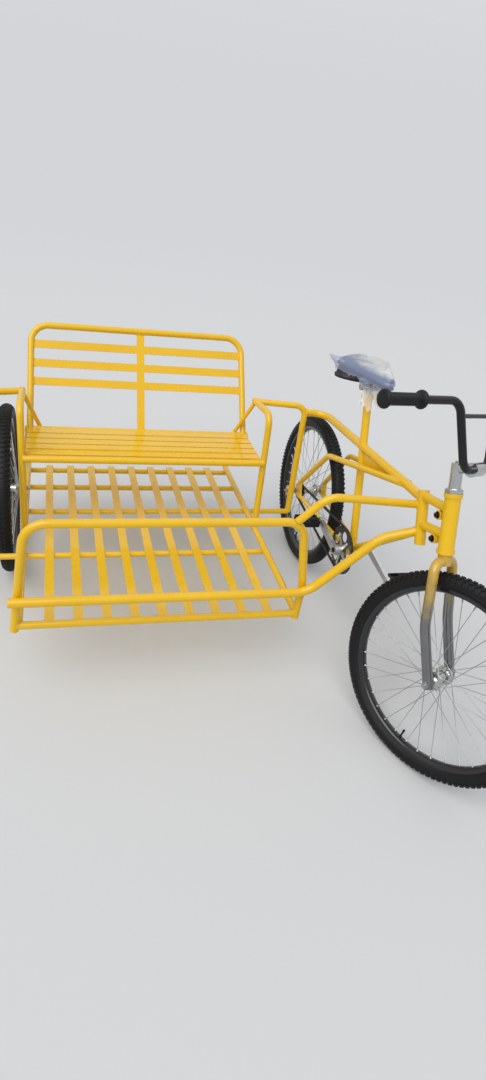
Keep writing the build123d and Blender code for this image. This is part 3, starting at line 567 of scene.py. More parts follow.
def rods(starts, ends, radii, stations, sides=8):
    """Round bars between pairs of points: a ring of sides points at each station, whose
    place is a share of the way from start to end and whose radius is given with it."""
    reach = ends - starts
    aside = unit(np.cross(unit(reach), across_rods))
    circle = circles(aside, np.cross(unit(reach), aside), sides)
    middle = starts[:, None] + reach[:, None] * np.asarray(stations)[:, None]
    points = middle[:, :, None] + circle[:, None] * np.asarray(radii)[:, None, None]
    tube = grid_faces(len(radii), sides, False, True)
    faces = tube + np.arange(len(starts))[:, None, None] * len(radii) * sides
    return points, faces.reshape(-1, 4)


def laced_spokes(name):
    """Spokes from alternate flanges to the rim, one half leading and one half trailing."""
    index = np.arange(spoke_count // 2)
    side = np.where(index % 2, 1.0, -1.0)
    starts, ends = [], []
    for lead, offset in zip((-1, 1), head_beside):
        at_rim = 2 * np.pi / spoke_count * (2 * index + (lead + 1) / 2)
        at_hub = at_rim + lead * spoke_lead
        starts.append(wheel_place(name, side * (flange_out[name] + offset), flange_r, at_hub))
        ends.append(wheel_place(name, side * rim_stagger, rim_bed + nipple_rise, at_rim))
    return rods(np.concatenate(starts), np.concatenate(ends), spoke_radii, spoke_stations)


zinc, add, place = bare_material("zinc_plated_steel")
cloud(add, place, 0.006, 4, ["#A9ACB0"], (0.22, 0.46), {"Metallic": 1.0})
dress(["front_axle", "rear_axle", "side_axle", "seat_post", "saddle_rails"], zinc)

for name in wheels:
    spokes = piece(name + "_laced_spokes", *laced_spokes(name), zinc)
    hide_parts(name + "_spokes")
    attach(spokes, name + "_wheel")

# Each inner tube's valve stands out of the rim's bed: a black rubber stem with a screwed
# cap. Rubber is dull and nearly black, and rubbed smoother in places.
# Millimetres down from the rim's bed, radius
valve_section = np.array([
    (-1.0, 0.0), (-1.0, 4.2), (1.5, 4.0), (3.5, 3.1), (17.0, 2.9), (17.4, 2.5), (20.0, 2.5),
    (20.3, 3.5), (20.8, 3.8), (29.0, 3.6), (30.6, 2.9), (31.2, 0.0),
]) / 1000
valve_turn = radians(184.9)
valve_steps = 16
soft_black, add, place = bare_material("moulded_black_rubber")
grain = add("TexNoise", {"Vector": place, "Scale": 1 / 0.0012, "Detail": 3})
bump = add("Bump", {"Height": grain, "Strength": 0.3, "Distance": 0.0002})
more = {"Specular IOR Level": 0.3, "Normal": bump}
cloud(add, place, 0.02, 6, ["#08090D", "#15161B"], (0.38, 0.62), more)

for name in wheels:
    foot, hub = wheel_place(name, 0.0, np.array([rim_bed, 0.0]), valve_turn)
    stem = lathed(foot, hub - foot, valve_section, valve_steps)
    valve = piece(name + "_valve", *stem, soft_black)
    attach(valve, name + "_wheel")

# Hubs and stem are chrome plate on steel, clouded by handling and road grime. A hub is a
# waisted barrel between two flanges, with a cone and locknut outside each.
# Millimetres from the flange's middle, radius
hub_end = np.array([
    (-12.0, 14.6), (-6.5, 15.4), (-3.6, 17.4), (-1.9, 20.5), (-1.5, 28.2), (-0.8, 29.0),
    (0.8, 29.0), (1.5, 28.2), (1.6, 16.0), (2.6, 14.0), (6.8, 12.6), (7.2, 11.4), (8.0, 11.2),
    (8.0, 5.2),
]) / 1000
barrel_r = 0.0142
hub_steps = 40
chrome, add, place = bare_material("dulled_chrome_plate")
cloud(add, place, 0.018, 6, ["#C9CACC", "#AEAEA8"], (0.1, 0.34), {"Metallic": 1.0}, 0.35)
dress(["stem"], chrome)

for name in wheels:
    half = hub_end + (flange_out[name], 0)
    profile = np.concatenate((half[::-1] * (-1, 1), [(0, barrel_r)], half))
    hub = piece(name + "_spun_hub", *lathed_on(name, profile, hub_steps, True), chrome)
    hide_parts(name + "_hub")
    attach(hub, name + "_wheel")

# The fork is chromed steel tube, its chrome a dark grey mottled by noise: partly dulled
# grime, partly a painted reflection of dark surroundings. Spray from the frame's yellow
# enamel reached its crown and shoulders and thins out down the legs.
spray_low, spray_high, spray_most = 0.49, 0.64, 0.85
spray_drift = 0.07
plated, add, place = bare_material("chrome_with_yellow_overspray")
height = add("SeparateXYZ", {0: place}, out=2)
drift = add("TexNoise", {"Vector": place, "Scale": 1 / 0.03, "Detail": 7})
shifted = add("MapRange", {"Value": drift, "To Min": -spray_drift, "To Max": spray_drift})
level = add("Math", {0: height, 1: shifted}, operation="ADD")
span = {"From Min": spray_low, "From Max": spray_high, "To Max": spray_most}
spray = add("MapRange", {"Value": level, **span})
# Dark grey chrome base: partly grime, partly a painted reflection of dark surroundings.
grime_and_dark_reflection = add("Mix", {0: drift, 6: "#8E8F92", 7: "#74746F"}, out=2, data_type="RGBA")
metal = add("BsdfPrincipled", {"Base Color": grime_and_dark_reflection, "Metallic": 1.0, "Roughness": 0.15})
paint = add("BsdfPrincipled", {"Base Color": "#D5AC34", "Roughness": 0.36, "Coat Weight": 0.2})
skin = add("MixShader", {0: spray, 1: metal, 2: paint})
add("OutputMaterial", {"Surface": skin})
dress(["fork"], plated)

# The steering head is held by a hexagonal locknut on top, and the stem by an expander bolt
# down its middle. The one is chrome plated, the other zinc plated.
head_mid, head_way = (np.array(joints["steer"][key]) for key in ("pos_m", "axis"))
locknut_foot = 0.0885
# Millimetres along the steering axis, radius
locknut_section = np.array([(0, 20), (0, 25.2), (10.4, 25.2), (12.4, 23.2), (12.4, 17.2)]) / 1000
washer_section = np.array([(12.4, 17.2), (12.4, 22.4), (14.2, 21.8), (14.4, 17.2)]) / 1000
# The same as shares of the bolt's radius
bolt_head = np.array([(0, 0), (0, 1), (0.62, 1), (0.74, 0.88), (0.74, 0)])
stem_top = 0.1740
expander_r = 0.0075
hex_sides, round_steps = 6, 36
foot = head_mid + head_way * locknut_foot
nut = lathed(foot, head_way, locknut_section, hex_sides)
washer = lathed(foot, head_way, washer_section, round_steps)
locknut = piece("headset_locknut", *joined([nut, washer]), chrome, smooth=False)
foot = head_mid + head_way * stem_top
bolt = lathed(foot, head_way, bolt_head * expander_r, hex_sides)
expander = piece("stem_bolt", *bolt, zinc, smooth=False)
for made in (locknut, expander):
    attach(made, "steering")

# The handlebar is one steel tube, bent in a press and clamped in the stem. It is sprayed in
# black gloss paint, which handling leaves a little smeared.
black_paint, add, place = bare_material("black_gloss_paint")
cloud(add, place, 0.02, 5, ["#0A0A0E"], (0.2, 0.38), {"Specular IOR Level": 0.4})
dress(["handlebar"], black_paint)

# The grips are moulded black rubber: a ribbed sleeve between two thick round collars, the
# outer one closed over the bar's end.
grip_rib = 0.0040
rib_depth = 0.0011
grip_r = 0.0168
bar_hole_r = 0.0112
collar_r = 0.0074
collar_circle = 0.0164
collar_swell = 1.05
flutes = 6
# How square the ribs are, how steep the flutes' sides are, and the share of a rib's height
# that a flute leaves
rib_square, flute_steep, flute_floor = 0.6, 3, 0.1
grip_rows, grip_columns = 190, 48
grip_end = 0.0006


def ribbed_grip(end, way, length):
    """Sleeve round the bar whose radius rises and falls once each grip_rib, cut by flutes
    along it, with a torus of collar_r at each end. The radius at a distance s is the
    larger of sleeve and collars, where a collar's is its circle's height at s."""
    inner = np.linspace(grip_end, length - grip_end, grip_rows)
    s = np.concatenate(([0.0, 0.0], inner, [length, length]))
    turn = turns(grip_columns)
    rib = np.abs(np.sin(np.pi * s / grip_rib)) ** rib_square * rib_depth
    wave = np.clip(np.cos(flutes * turn) * flute_steep, -1, 1) / 2 + 0.5
    flute = flute_floor + (1 - flute_floor) * wave
    radius = grip_r - rib_depth + rib[:, None] * flute
    for middle in (collar_r, length - collar_r):
        rise = np.sqrt(np.clip(collar_r ** 2 - (s - middle) ** 2, 0, None))
        collar = (collar_circle + rise * collar_swell) * (rise > 0)
        radius = np.maximum(radius, collar[:, None])
    radius[[1, -2]] = collar_circle
    radius[0], radius[-1] = 0.0, bar_hole_r
    return round_axle(end, way, s[:, None], radius, turn)


corners = cad_points("grips")
middle = corners.mean(0)
made = []
for hand in (corners[:, 0] < middle[0], corners[:, 0] > middle[0]):
    own = corners[hand]
    centre = (own.min(0) + own.max(0)) / 2
    way = np.linalg.svd(own - own.mean(0), full_matrices=False)[2][0]
    way = way * np.sign((middle - centre) @ way)
    reach = (own - centre) @ way
    points = ribbed_grip(centre + way * reach.min(), way, np.ptp(reach))
    made.append((points, grid_faces(len(points), grip_columns, False, True)))
grips = piece("ribbed_grips", *joined(made), soft_black)
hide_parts("grips")
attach(grips, "steering")

# The saddle is a broad padded one: black vinyl stretched over foam, with a narrow nose, a
# domed tail, a stitched piping round its lower edge and a flat pressed base.
saddle_low, saddle_high = (np.array(corner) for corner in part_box("saddle"))
saddle_x = (saddle_low[0] + saddle_high[0]) / 2
saddle_width, saddle_length, saddle_height = saddle_high - saddle_low
saddle_skirt = 0.014
saddle_round = 2.3
saddle_wall = 0.007
saddle_rows, crown_columns = 70, 44
# Share of the length from the nose, how far the skirt hangs below the base in millimetres
saddle_hang = np.array([
    (0.0, 0.0), (0.2, 1.0), (0.3, 4.0), (0.4, 12.0), (0.5, 22.0), (0.62, 29.0), (0.75, 32.0),
    (1.0, 32.0),
])
# The piping: its radius, how far in from the outline and over the skirt's lip it lies, and
# the share of the skirt's hang that it follows
piping_r, piping_in, piping_up, piping_hang = 0.0022, 0.0006, 0.0025, 0.86
piping_steps, piping_sides = 120, 8
# Share of the length from the nose, share of the half width
saddle_shape = np.array([
    (0.0, 0.0), (0.004, 0.07), (0.012, 0.11), (0.03, 0.17), (0.06, 0.225), (0.095, 0.25),
    (0.2, 0.262), (0.3, 0.285), (0.4, 0.33), (0.5, 0.42), (0.58, 0.535), (0.65, 0.68),
    (0.72, 0.85), (0.77, 0.935), (0.82, 0.975), (0.87, 0.965), (0.91, 0.90), (0.938, 0.77),
    (0.96, 0.62), (0.98, 0.42), (0.995, 0.18), (1.0, 0.0),
])
# Share of the length, share of the height
saddle_crown = np.array([
    (0.0, 0.80), (0.1, 0.93), (0.25, 0.88), (0.45, 0.82), (0.65, 0.88), (0.85, 1.0), (1.0, 0.90),
])


def curve(at, knots):
    """Smooth line through a table's points: a cubic between each pair, whose slope at a
    point is the mean slope of its neighbours."""
    x, y = knots.T
    slope = np.gradient(y, x)
    i = np.clip(np.searchsorted(x, at, side="right") - 1, 0, len(x) - 2)
    wide = x[i + 1] - x[i]
    t = (at - x[i]) / wide
    rise = (3 - 2 * t) * t * t
    bend = (t * (1 - t) ** 2 * slope[i] - t * t * (1 - t) * slope[i + 1]) * wide
    return y[i] + (y[i + 1] - y[i]) * rise + bend


def saddle_outline(share):
    """Half width of the saddle at a share of its length from the nose, and that place."""
    half = np.interp(share, *saddle_shape.T) * saddle_width / 2
    return half, saddle_low[1] + share * saddle_length


def crown_height(share, half):
    """Height of the saddle's crown over its skirt, less where nose and tail close."""
    height = (saddle_height - saddle_skirt) * curve(share, saddle_crown)
    return height * np.clip(half * 12 / saddle_width, 0, 1) ** 0.5


# Round the base from left to right: share of the half width, share of the wall that the
# point stands in by, share of the hang that it lies down by
base_points = np.array([
    (-0.6 / 7, 0.0005, 0.55), (-2 / 7, 0.0, 0.92), (-1, 0.002, 1.0), (-1, 0.5, 0.9),
    (-1, 1.0, 0.0), (-0.5, 1.0, 0.0), (0.5, 1.0, 0.0), (1, 1.0, 0.0),
    (1, 0.5, 0.9), (1, 0.002, 1.0), (2 / 7, 0.0, 0.92), (0.6 / 7, 0.0005, 0.55),
])


def saddle_skin():
    """Closed sections from nose to tail: a flat base, a skirt that folds in under the seat
    and out again to a lip, and a crown that is a superellipse of the half width and the
    height above the skirt."""
    share = (1 - np.cos(np.linspace(0, np.pi, saddle_rows))) / 2
    half, y = saddle_outline(share)
    turn = np.linspace(0, np.pi, crown_columns)
    across = np.sign(np.cos(turn)) * np.abs(np.cos(turn)) ** (2 / saddle_round)
    lift = np.sin(turn) ** (2 / saddle_round)
    height = crown_height(share, half)
    top = np.stack((
        saddle_x + half[:, None] * across, y[:, None] + 0 * across,
        saddle_low[2] + saddle_skirt + height[:, None] * lift,
    ), -1)
    out, inset, down = base_points.T
    wall = np.minimum(saddle_wall, half * 0.5)[:, None] * inset
    base = np.stack((
        saddle_x + (half[:, None] - wall) * out, y[:, None] + 0 * out,
        saddle_low[2] - curve(share, saddle_hang)[:, None] / 1000 * down,
    ), -1)
    points = np.concatenate((top, base), 1)
    return points, grid_faces(*points.shape[:2], False, True)


def saddle_piping():
    """Cord that follows the saddle's outline just above the lip of its skirt."""
    share = (1 - np.cos(np.linspace(0, np.pi, piping_steps))) / 2
    half, y = saddle_outline(share)
    level = saddle_low[2] + piping_up - curve(share, saddle_hang) / 1000 * piping_hang
    right = np.stack((saddle_x + half - piping_in, y, level), 1)
    left = np.stack((saddle_x - half + piping_in, y, level), 1)[::-1]
    line = np.concatenate((right[:-1], left[:-1]))
    line = line[np.linalg.norm(line - np.roll(line, 1, axis=0), axis=1) > 1e-5]
    way = unit(np.roll(line, -1, axis=0) - np.roll(line, 1, axis=0))
    aside = unit(np.cross(way, (0.0, 0.0, 1.0)))
    out = circles(aside, np.cross(aside, way), piping_sides) * piping_r
    return line[:, None] + out, grid_faces(len(line), piping_sides, True, True)


vinyl, add, place = bare_material("black_saddle_vinyl")
pores = add("TexVoronoi", {"Vector": place, "Scale": 1 / 0.0022}, out="Distance", feature="F1")
bump = add("Bump", {"Height": pores, "Strength": 0.2, "Distance": 0.0002})
cloud(add, place, 0.05, 4, ["#17181D"], (0.26, 0.42), {"Normal": bump})

saddle = piece("padded_saddle", *saddle_skin(), vinyl)
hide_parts("saddle")
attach(saddle, "chassis")
piping = piece("saddle_piping", *saddle_piping(), vinyl)
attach(piping, "chassis")

# A new saddle comes in a wrap of thin clear polythene. It lies over the top, its edges
# hang ragged below the seat, and it is drawn together round the post. It is bluish, and its
# creases glint. Where it faces up, most on its far side and in blotches, it is painted white
# and more opaque: a painted highlight that stands for the sky's glare on it. Its tail below
# the seat is white.
wrap_rows, wrap_columns = 110, 260
wrap_lift = 0.0022
# Depth of the creases round the saddle, where the top has half of it, and round the post
crease_depth, tail_crease = 0.0042, 0.0022
# Shares of the way from the film's middle to its edge: how far it lies on the saddle's
# skin, and where it starts to hang
dome_share, hang_share = 0.72, 0.7
# The plume, a loose corner at the back: the way it points, its width round the saddle, its
# place and depth as shares, and how far it stands out and up
plume_way, plume_width = radians(150), 0.15
plume_share, plume_depth = 0.72, 0.13
plume_out, plume_up = 0.034, 0.018
# Folds of two sizes: how many, how wide in metres, share of the crease's depth
folds = ((7, 0.055, 0.55), (9, 0.02, 0.45))
# Waves of the ragged edges and small pleats: how many go round, shift, height
wrap_waves = ((7, 1, 0.0035), (19, 0, 0.002))
tail_waves = ((3, 1, 0.010), (11, 0, 0.005))
small_pleats = ((17, 2, 0.6),)
# Pleats round the post and how deep they are as a share of the radius, how far the tail
# sways out, how far it leans with the post for each metre down
pleats, pleat_depth, tail_sway, tail_lean = 9, 0.13, 0.008, 0.22
# The edge is lower behind the saddle than before it
edge_drop = 0.008
# The film's middle along the saddle, and how far ahead of the post its neck lies
middle_share, neck_ahead = 0.62, 0.006
film_start = 0.012
least_cosine = 0.02
wrap_middle = np.array([saddle_x, saddle_low[1] + middle_share * saddle_length])
post_low, post_high = (np.array(corner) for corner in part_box("seat_post"))
neck = np.array([saddle_x, (post_low[1] + post_high[1]) / 2 - neck_ahead])
# Along the film from its middle: share, share of the outline's reach, height over the
# saddle's base in millimetres
wrap_profile = np.array([
    (0.00, 0.00, 43.4), (0.15, 0.30, 43.2), (0.28, 0.55, 42.4), (0.42, 0.78, 39.5),
    (0.55, 0.92, 34.0), (0.68, 1.005, 24.0), (0.82, 1.03, 14.0), (0.92, 1.015, 7.0),
    (1.00, 1.00, -3.0),
])
# The tail round the post: share, radius and height over the base in millimetres
tail_profile = np.array([
    (0.0, 33.0, -3.0), (0.1, 40.0, -10.0), (0.25, 38.0, -24.0), (0.45, 25.0, -42.0),
    (0.75, 29.0, -68.0), (1.0, 35.0, -92.0),
])


def creases(points, count, scale, seed):
    """Crumpled film: the sum of several folds, each one minus the absolute sine of a plane
    wave, which gives sharp ridges with flat faces between them."""
    dice = np.random.default_rng(seed)
    total = 0.0
    for _ in range(count):
        way = dice.normal(size=3)
        way = unit(way) * 2 * np.pi / (scale * dice.uniform(0.6, 1.7))
        total = total + (1 - np.abs(np.sin(points @ way / 2 + dice.uniform(0, 6.28)))) ** 2
    return total / count


def wrap_outline(turn):
    """Distance from the saddle's middle to the outline a tight film takes: the outline's
    convex hull, found as the least of reach(way) / cos(turn - way) over all ways."""
    share = np.linspace(0, 1, 200)
    half, y = saddle_outline(share)
    side = np.stack((np.concatenate((half, -half)), np.concatenate((y, y)) - wrap_middle[1]), 1)
    ways = np.linspace(0, 2 * np.pi, 360, endpoint=False)
    reach = (side @ np.stack((np.cos(ways), np.sin(ways)))).max(0)
    apart = np.cos(turn[:, None] - ways)
    reached = reach / np.maximum(apart, least_cosine)
    return np.where(apart > least_cosine, reached, np.inf).min(1)


def saddle_top(x, y):
    """Height of the saddle's skin over a point, or its skirt's top outside its outline."""
    share = np.clip((y - saddle_low[1]) / saddle_length, 0, 1)
    half = saddle_outline(share)[0]
    across = np.clip(np.abs(x - saddle_x) / np.maximum(half, 1e-4), 0, 1)
    lift = (1 - across ** saddle_round) ** (1 / saddle_round)
    return saddle_low[2] + saddle_skirt + crown_height(share, half) * lift


def crumpled(points, depth, seeds):
    """A sheet's grid of points pushed outwards by folds of two sizes."""
    along = np.gradient(points, axis=0)
    round_it = np.roll(points, -1, 1) - np.roll(points, 1, 1)
    out = unit(np.cross(round_it, along))
    fold = sum(creases(points, count, scale, seed) * share
               for (count, scale, share), seed in zip(folds, seeds))
    return points - out * (fold * depth)[..., None]


def waves(turn, table):
    """Sum of sine waves round a ring: each one's height times sin(count turn + shift)."""
    return sum(height * np.sin(count * turn + shift) for count, shift, height in table)


def wrap_sheet():
    """Grid of rings round the saddle's middle: a dome over the top whose height is never
    less than the skin's, sides that hang to a ragged edge, and a plume at the back."""
    turn = np.linspace(0, 2 * np.pi, wrap_columns, endpoint=False)
    v = np.linspace(film_start, 1, wrap_rows)[:, None]
    reach, level = (curve(v, wrap_profile[:, (0, i)]) for i in (1, 2))
    hang = np.clip((v - hang_share) / (1 - hang_share), 0, 1)
    sideways, inwards = (turn - plume_way) / plume_width, (v - plume_share) / plume_depth
    plume = np.exp(-sideways ** 2 - inwards ** 2)
    radius = wrap_outline(turn) * reach + plume_out * plume
    behind = np.clip(np.sin(turn) * 1.4, 0, 1)
    ragged = waves(turn, wrap_waves) - edge_drop * behind
    x = wrap_middle[0] + radius * np.cos(turn)
    y = wrap_middle[1] + radius * np.sin(turn)
    z = saddle_low[2] + level / 1000 + hang * ragged + plume_up * plume
    z = np.where(v < dome_share, np.maximum(z, saddle_top(x, y) + wrap_lift), z)
    sheet = crumpled(np.stack((x, y, z), -1), crease_depth * (0.5 + 0.8 * hang), (3, 5))
    return np.concatenate((np.broadcast_to(sheet[0].mean(0), (1, wrap_columns, 3)), sheet))


def tail_sheet():
    """Pleated grid of rings that hangs round the post and flares to a ragged end."""
    turn = np.linspace(0, 2 * np.pi, wrap_columns // 2, endpoint=False)
    v = np.linspace(0, 1, wrap_rows // 2)[:, None]
    radius, level = (curve(v, tail_profile[:, (0, i)]) / 1000 for i in (1, 2))
    wave = np.sin(pleats * turn + 1.3 * np.sin(3 * turn)) + waves(turn, small_pleats)
    radius = radius * (1 + pleat_depth * wave) + tail_sway * v ** 2 * np.sin(2 * turn + 0.5)
    hang = level - v ** 3 * waves(turn, tail_waves)
    points = np.stack((
        neck[0] + radius * np.cos(turn), neck[1] + hang * tail_lean + radius * np.sin(turn),
        saddle_low[2] + hang,
    ), -1)
    return crumpled(points, tail_crease, (8, 9))


crinkle_size = 0.011
blotch_size = 0.035
# Beside the saddle's middle, where the painted highlight of glare on the far side begins
# and is full, and below the base, where the tail turns white
glare_side_from, glare_side_to = -0.09, 0.07
white_from, white_to = -0.012, -0.04
film, add, place = bare_material("clear_polythene_film")
crinkle = add(
    "TexNoise", {"Vector": place, "Scale": 1 / crinkle_size, "Detail": 3},
    noise_type="RIDGED_MULTIFRACTAL",
)
bump = add("Bump", {"Height": crinkle, "Strength": 0.35, "Distance": 0.0016})
# Painted highlight: where the film's normal faces up it is painted white and made more opaque,
# most on its far side and in noisy blotches, standing for the sky's glare on it.
height = add("SeparateXYZ", {0: add("NewGeometry", {}, out="Normal")}, out=2)
level = add("MapRange", {"Value": height, "From Min": 0.62, "From Max": 1.0})
spot = add("SeparateXYZ", {0: place}).node.outputs
span = {"From Min": saddle_x + glare_side_from, "From Max": saddle_x + glare_side_to}
sideways = add("MapRange", {"Value": spot[0], **span})
blotch = add(
    "TexNoise", {"Vector": place, "Scale": 1 / blotch_size, "Detail": 3, "Distortion": 0.6}
)
patchy = add("Math", {0: sideways, 1: blotch}, operation="ADD")
glare_side_blotches = add("MapRange", {"Value": patchy, "From Min": 0.55, "From Max": 1.1})
painted_glare = add("Math", {0: level, 1: glare_side_blotches}, operation="MULTIPLY")
span = {"From Min": saddle_low[2] + white_from, "From Max": saddle_low[2] + white_to}
below = add("MapRange", {"Value": spot[2], **span})
glare_and_white_tail = add("Math", {0: painted_glare, 1: below}, operation="ADD", use_clamp=True)
# The bluish tone goes to white in the painted highlight and where the tail hangs below the base;
# the alpha rises with the painted highlight.
tone = add("Mix", {0: glare_and_white_tail, 6: "#AABCE6", 7: "#F9FAFB"}, out=2, data_type="RGBA")
glare_opacity = add("MapRange", {"Value": painted_glare, "To Min": 0.42, "To Max": 0.66})
skin = add("BsdfPrincipled", {
    "Base Color": tone, "Roughness": 0.13, "Alpha": glare_opacity, "Specular IOR Level": 0.9,
    "Normal": bump,
})
add("OutputMaterial", {"Surface": skin})
wraps = (
    ("saddle_wrap", wrap_sheet(), (0.36, 0.32), 0.067, "padded_saddle"),
    ("post_wrap", tail_sheet(), (0.2, 0.16), 0.03, "seat_post"),
)
for name, points, cut, used, under in wraps:
    wrap = piece(name, points, grid_faces(*points.shape[:2], False, True), film)
    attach(wrap, "chassis")

# The chain is a half-inch roller chain under dark oil: waisted side plates, inner and outer
# pairs by turns, on rollers that lie between the teeth of chainring and sprocket. The
# freewheel is a notched steel body that carries the sprocket.
pitch = 0.0127
link_count = 108
ring_teeth, sprocket_teeth = 44, 16
plate_places = ((-0.0028, -0.0019), (0.0019, 0.0028)), ((-0.0037, -0.0028), (0.0028, 0.0037))
plate_end_r, plate_waist = 0.0042, 0.0031
roller_r, pin_r = 0.0038, 0.0021
roller_half, pin_half = 0.00185, 0.0039
pin_sides, freewheel_steps = 10, 48
tip_band = 0.0004
# Millimetres along the axle from the wheel's middle, radius
freewheel_section = np.array([
    (-51.0, 10.0), (-51.0, 17.5), (-50.3, 18.4), (-49.4, 18.4), (-49.2, 20.2), (-48.6, 20.8),
    (-39.0, 20.8), (-38.2, 20.0), (-38.2, 10.0),
]) / 1000
oily, add, place = bare_material("oiled_chain_steel")
cloud(add, place, 0.01, 6, ["#2A2724", "#6B665F"], (0.5, 0.28), {"Metallic": 1.0})
dress(["chainring"], oily)

ring_low, ring_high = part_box("chainring")
chain_x = (ring_low.x + ring_high.x) / 2
spins = [joints[name]["pos_m"] for name in ("crank_spin", "rear_wheel_spin")]
wheel_middles = np.array(spins)[:, 1:]
wheel_radii = pitch / 2 / np.sin(np.pi / np.array([ring_teeth, sprocket_teeth]))
apart = wheel_middles[1] - wheel_middles[0]
reach = np.linalg.norm(apart)
slope = np.arctan2(apart[1], apart[0])
spread = np.arccos((wheel_radii[0] - wheel_radii[1]) / reach)
upper, lower = slope + spread, slope - spread
run = reach * np.sin(spread) / pitch
on_rear = spread / np.pi * sprocket_teeth
on_ring = (1 - spread / np.pi) * ring_teeth
chain_ends = np.cumsum((run, on_rear, link_count - run - on_rear - on_ring, on_ring))


def polar(middle, radius, angle):
    """Points of the chain's plane at a radius and an angle round a middle."""
    return middle + np.asarray(radius)[..., None] * np.stack((np.cos(angle), np.sin(angle)), -1)


def beside(x, flat):
    """Points of the chain's plane, moved sideways by x: (chain_x + x, y, z)."""
    return np.concatenate((np.full(flat.shape[:-1] + (1,), chain_x + x), flat), -1)


def belt(link):
    """Places on the chain, counted in links from where it leaves the chainring on top.

    Both runs touch the two pitch circles where the radius stands at spread from the line
    of centres, and cos(spread) is the difference of the radii over that line's length.
    """
    rear = polar(wheel_middles[1], wheel_radii[1],
                 upper - (link - chain_ends[0]) / sprocket_teeth * 2 * np.pi)
    ring = polar(wheel_middles[0], wheel_radii[0],
                 lower - (link - chain_ends[2]) / ring_teeth * 2 * np.pi)
    tops, lows = (polar(wheel_middles, wheel_radii, np.full(2, turn)) for turn in (upper, lower))
    back = (link / chain_ends[0])[:, None]
    forth = ((link - chain_ends[1]) / (chain_ends[2] - chain_ends[1]))[:, None]
    top_run = tops[0] + (tops[1] - tops[0]) * back
    low_run = lows[1] + (lows[0] - lows[1]) * forth
    part = np.searchsorted(chain_ends[:3], link, side="right")[:, None]
    return np.choose(part, (top_run, rear, low_run, ring))


def tooth_turn(name, teeth, middle):
    """Angle of a tooth of a CAD wheel: the phase of exp(i teeth angle) over its tips."""
    out = cad_points(name)[:, 1:] - middle
    far = np.linalg.norm(out, axis=1)
    tips = out[far > far.max() - tip_band]
    return np.angle(np.exp(1j * teeth * np.arctan2(tips[:, 1], tips[:, 0])).mean()) / teeth


def plates(outlines, middles, low, high):
    """Flat plates between two places in x, closed by fans from the middle of each end."""
    hub = np.broadcast_to(middles[:, None], outlines.shape)
    rows = [beside(*row) for row in ((low, hub), (low, outlines), (high, outlines), (high, hub))]
    count, sides = outlines.shape[:2]
    faces = grid_faces(4, sides, False, True) + np.arange(count)[:, None, None] * 4 * sides
    return np.stack(rows, 1), faces.reshape(-1, 4)


ring_tooth = tooth_turn("chainring", ring_teeth, wheel_middles[0])
ring_gap = ring_tooth + np.pi / ring_teeth
first = (chain_ends[2] + (lower - ring_gap) * ring_teeth / (2 * np.pi)) % 1
at = belt(first + np.arange(link_count))
way = np.roll(at, -1, axis=0) - at
length = np.linalg.norm(way, axis=1)[:, None, None]
way = way / length[:, 0]
side = np.stack((-way[:, 1], way[:, 0]), 1)
bow = np.linspace(-np.pi / 2, np.pi / 2, 7)
cap = np.stack((np.cos(bow), np.sin(bow)), 1) * plate_end_r
narrow = np.array([(0.0, plate_waist)])
shape = np.concatenate((cap, narrow, -cap, -narrow))
ahead = np.concatenate((np.ones_like(bow), (0.5,), np.zeros_like(bow), (0.5,)))[:, None]
outlines = (
    at[:, None] + (shape[:, :1] + ahead * length) * way[:, None] + shape[:, 1:] * side[:, None]
)
middles = at + way * length[:, 0] / 2
made = [plates(outlines[odd::2], middles[odd::2], low, high)
        for odd in (0, 1) for low, high in plate_places[odd]]
for radius, half in ((roller_r, roller_half), (pin_r, pin_half)):
    ends = beside(-half, at), beside(half, at)
    made.append(rods(*ends, (0, radius, radius, 0), (0, 0, 1, 1), pin_sides))
chain = piece("roller_chain", *joined(made), oily, smooth=False)
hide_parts("chain")
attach(chain, "chassis")

# Over one pitch of the sprocket, how high its edge stands between gap and tip
tooth_wave = (1.0, 0.75, 0.0, -0.75, -1.0, -0.75, 0.0, 0.75)
tooth_rise, tooth_sink = 0.0029, 0.0007
sprocket_half, sprocket_chamfer, sprocket_bore_r = 0.0011, 0.002, 0.012
steps = sprocket_teeth * len(tooth_wave)
rear_turn = upper + (chain_ends[0] - first + 0.5) / sprocket_teeth * 2 * np.pi
turn = rear_turn + turns(steps)
tip = wheel_radii[1] - tooth_sink + tooth_rise * np.tile(tooth_wave, sprocket_teeth)
disc = [
    beside(x, polar(wheel_middles[1], np.broadcast_to(radius, turn.shape), turn))
    for x, radius in (
        (-sprocket_half, sprocket_bore_r), (-sprocket_half, tip - sprocket_chamfer), (0.0, tip),
        (sprocket_half, tip - sprocket_chamfer), (sprocket_half, sprocket_bore_r),
    )
]
toothed = np.array(disc), grid_faces(len(disc), steps, True, True)
body = lathed(spins[1], (1, 0, 0), freewheel_section, freewheel_steps, closed=True)
sprocket = piece("freewheel", *joined([toothed, body]), oily, smooth=False)
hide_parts("rear_sprocket")
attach(sprocket, "rear_wheel")

# The cranks are forged steel under dull satin chrome. A flat five-armed spider of the same
# make carries the chainring on round bolts, and a plastic cap closes each crank's middle.
crank_middle = np.array(joints["crank_spin"]["pos_m"])
arm_count = 5
# Millimetres out from the middle and to one side
spider_arm = np.array([
    (16.0, 9.0), (16.0, -9.0), (30.0, -6.5), (48.0, -5.5), (56.0, -6.8), (61.0, -5.8),
    (64.0, -3.0), (65.0, 0.0), (64.0, 3.0), (61.0, 5.8), (56.0, 6.8), (48.0, 5.5), (30.0, 6.5),
]) / 1000
arm_low, arm_high = -0.0052, -0.0015
arm_middle, ring_bolt_place = 0.038, 0.057
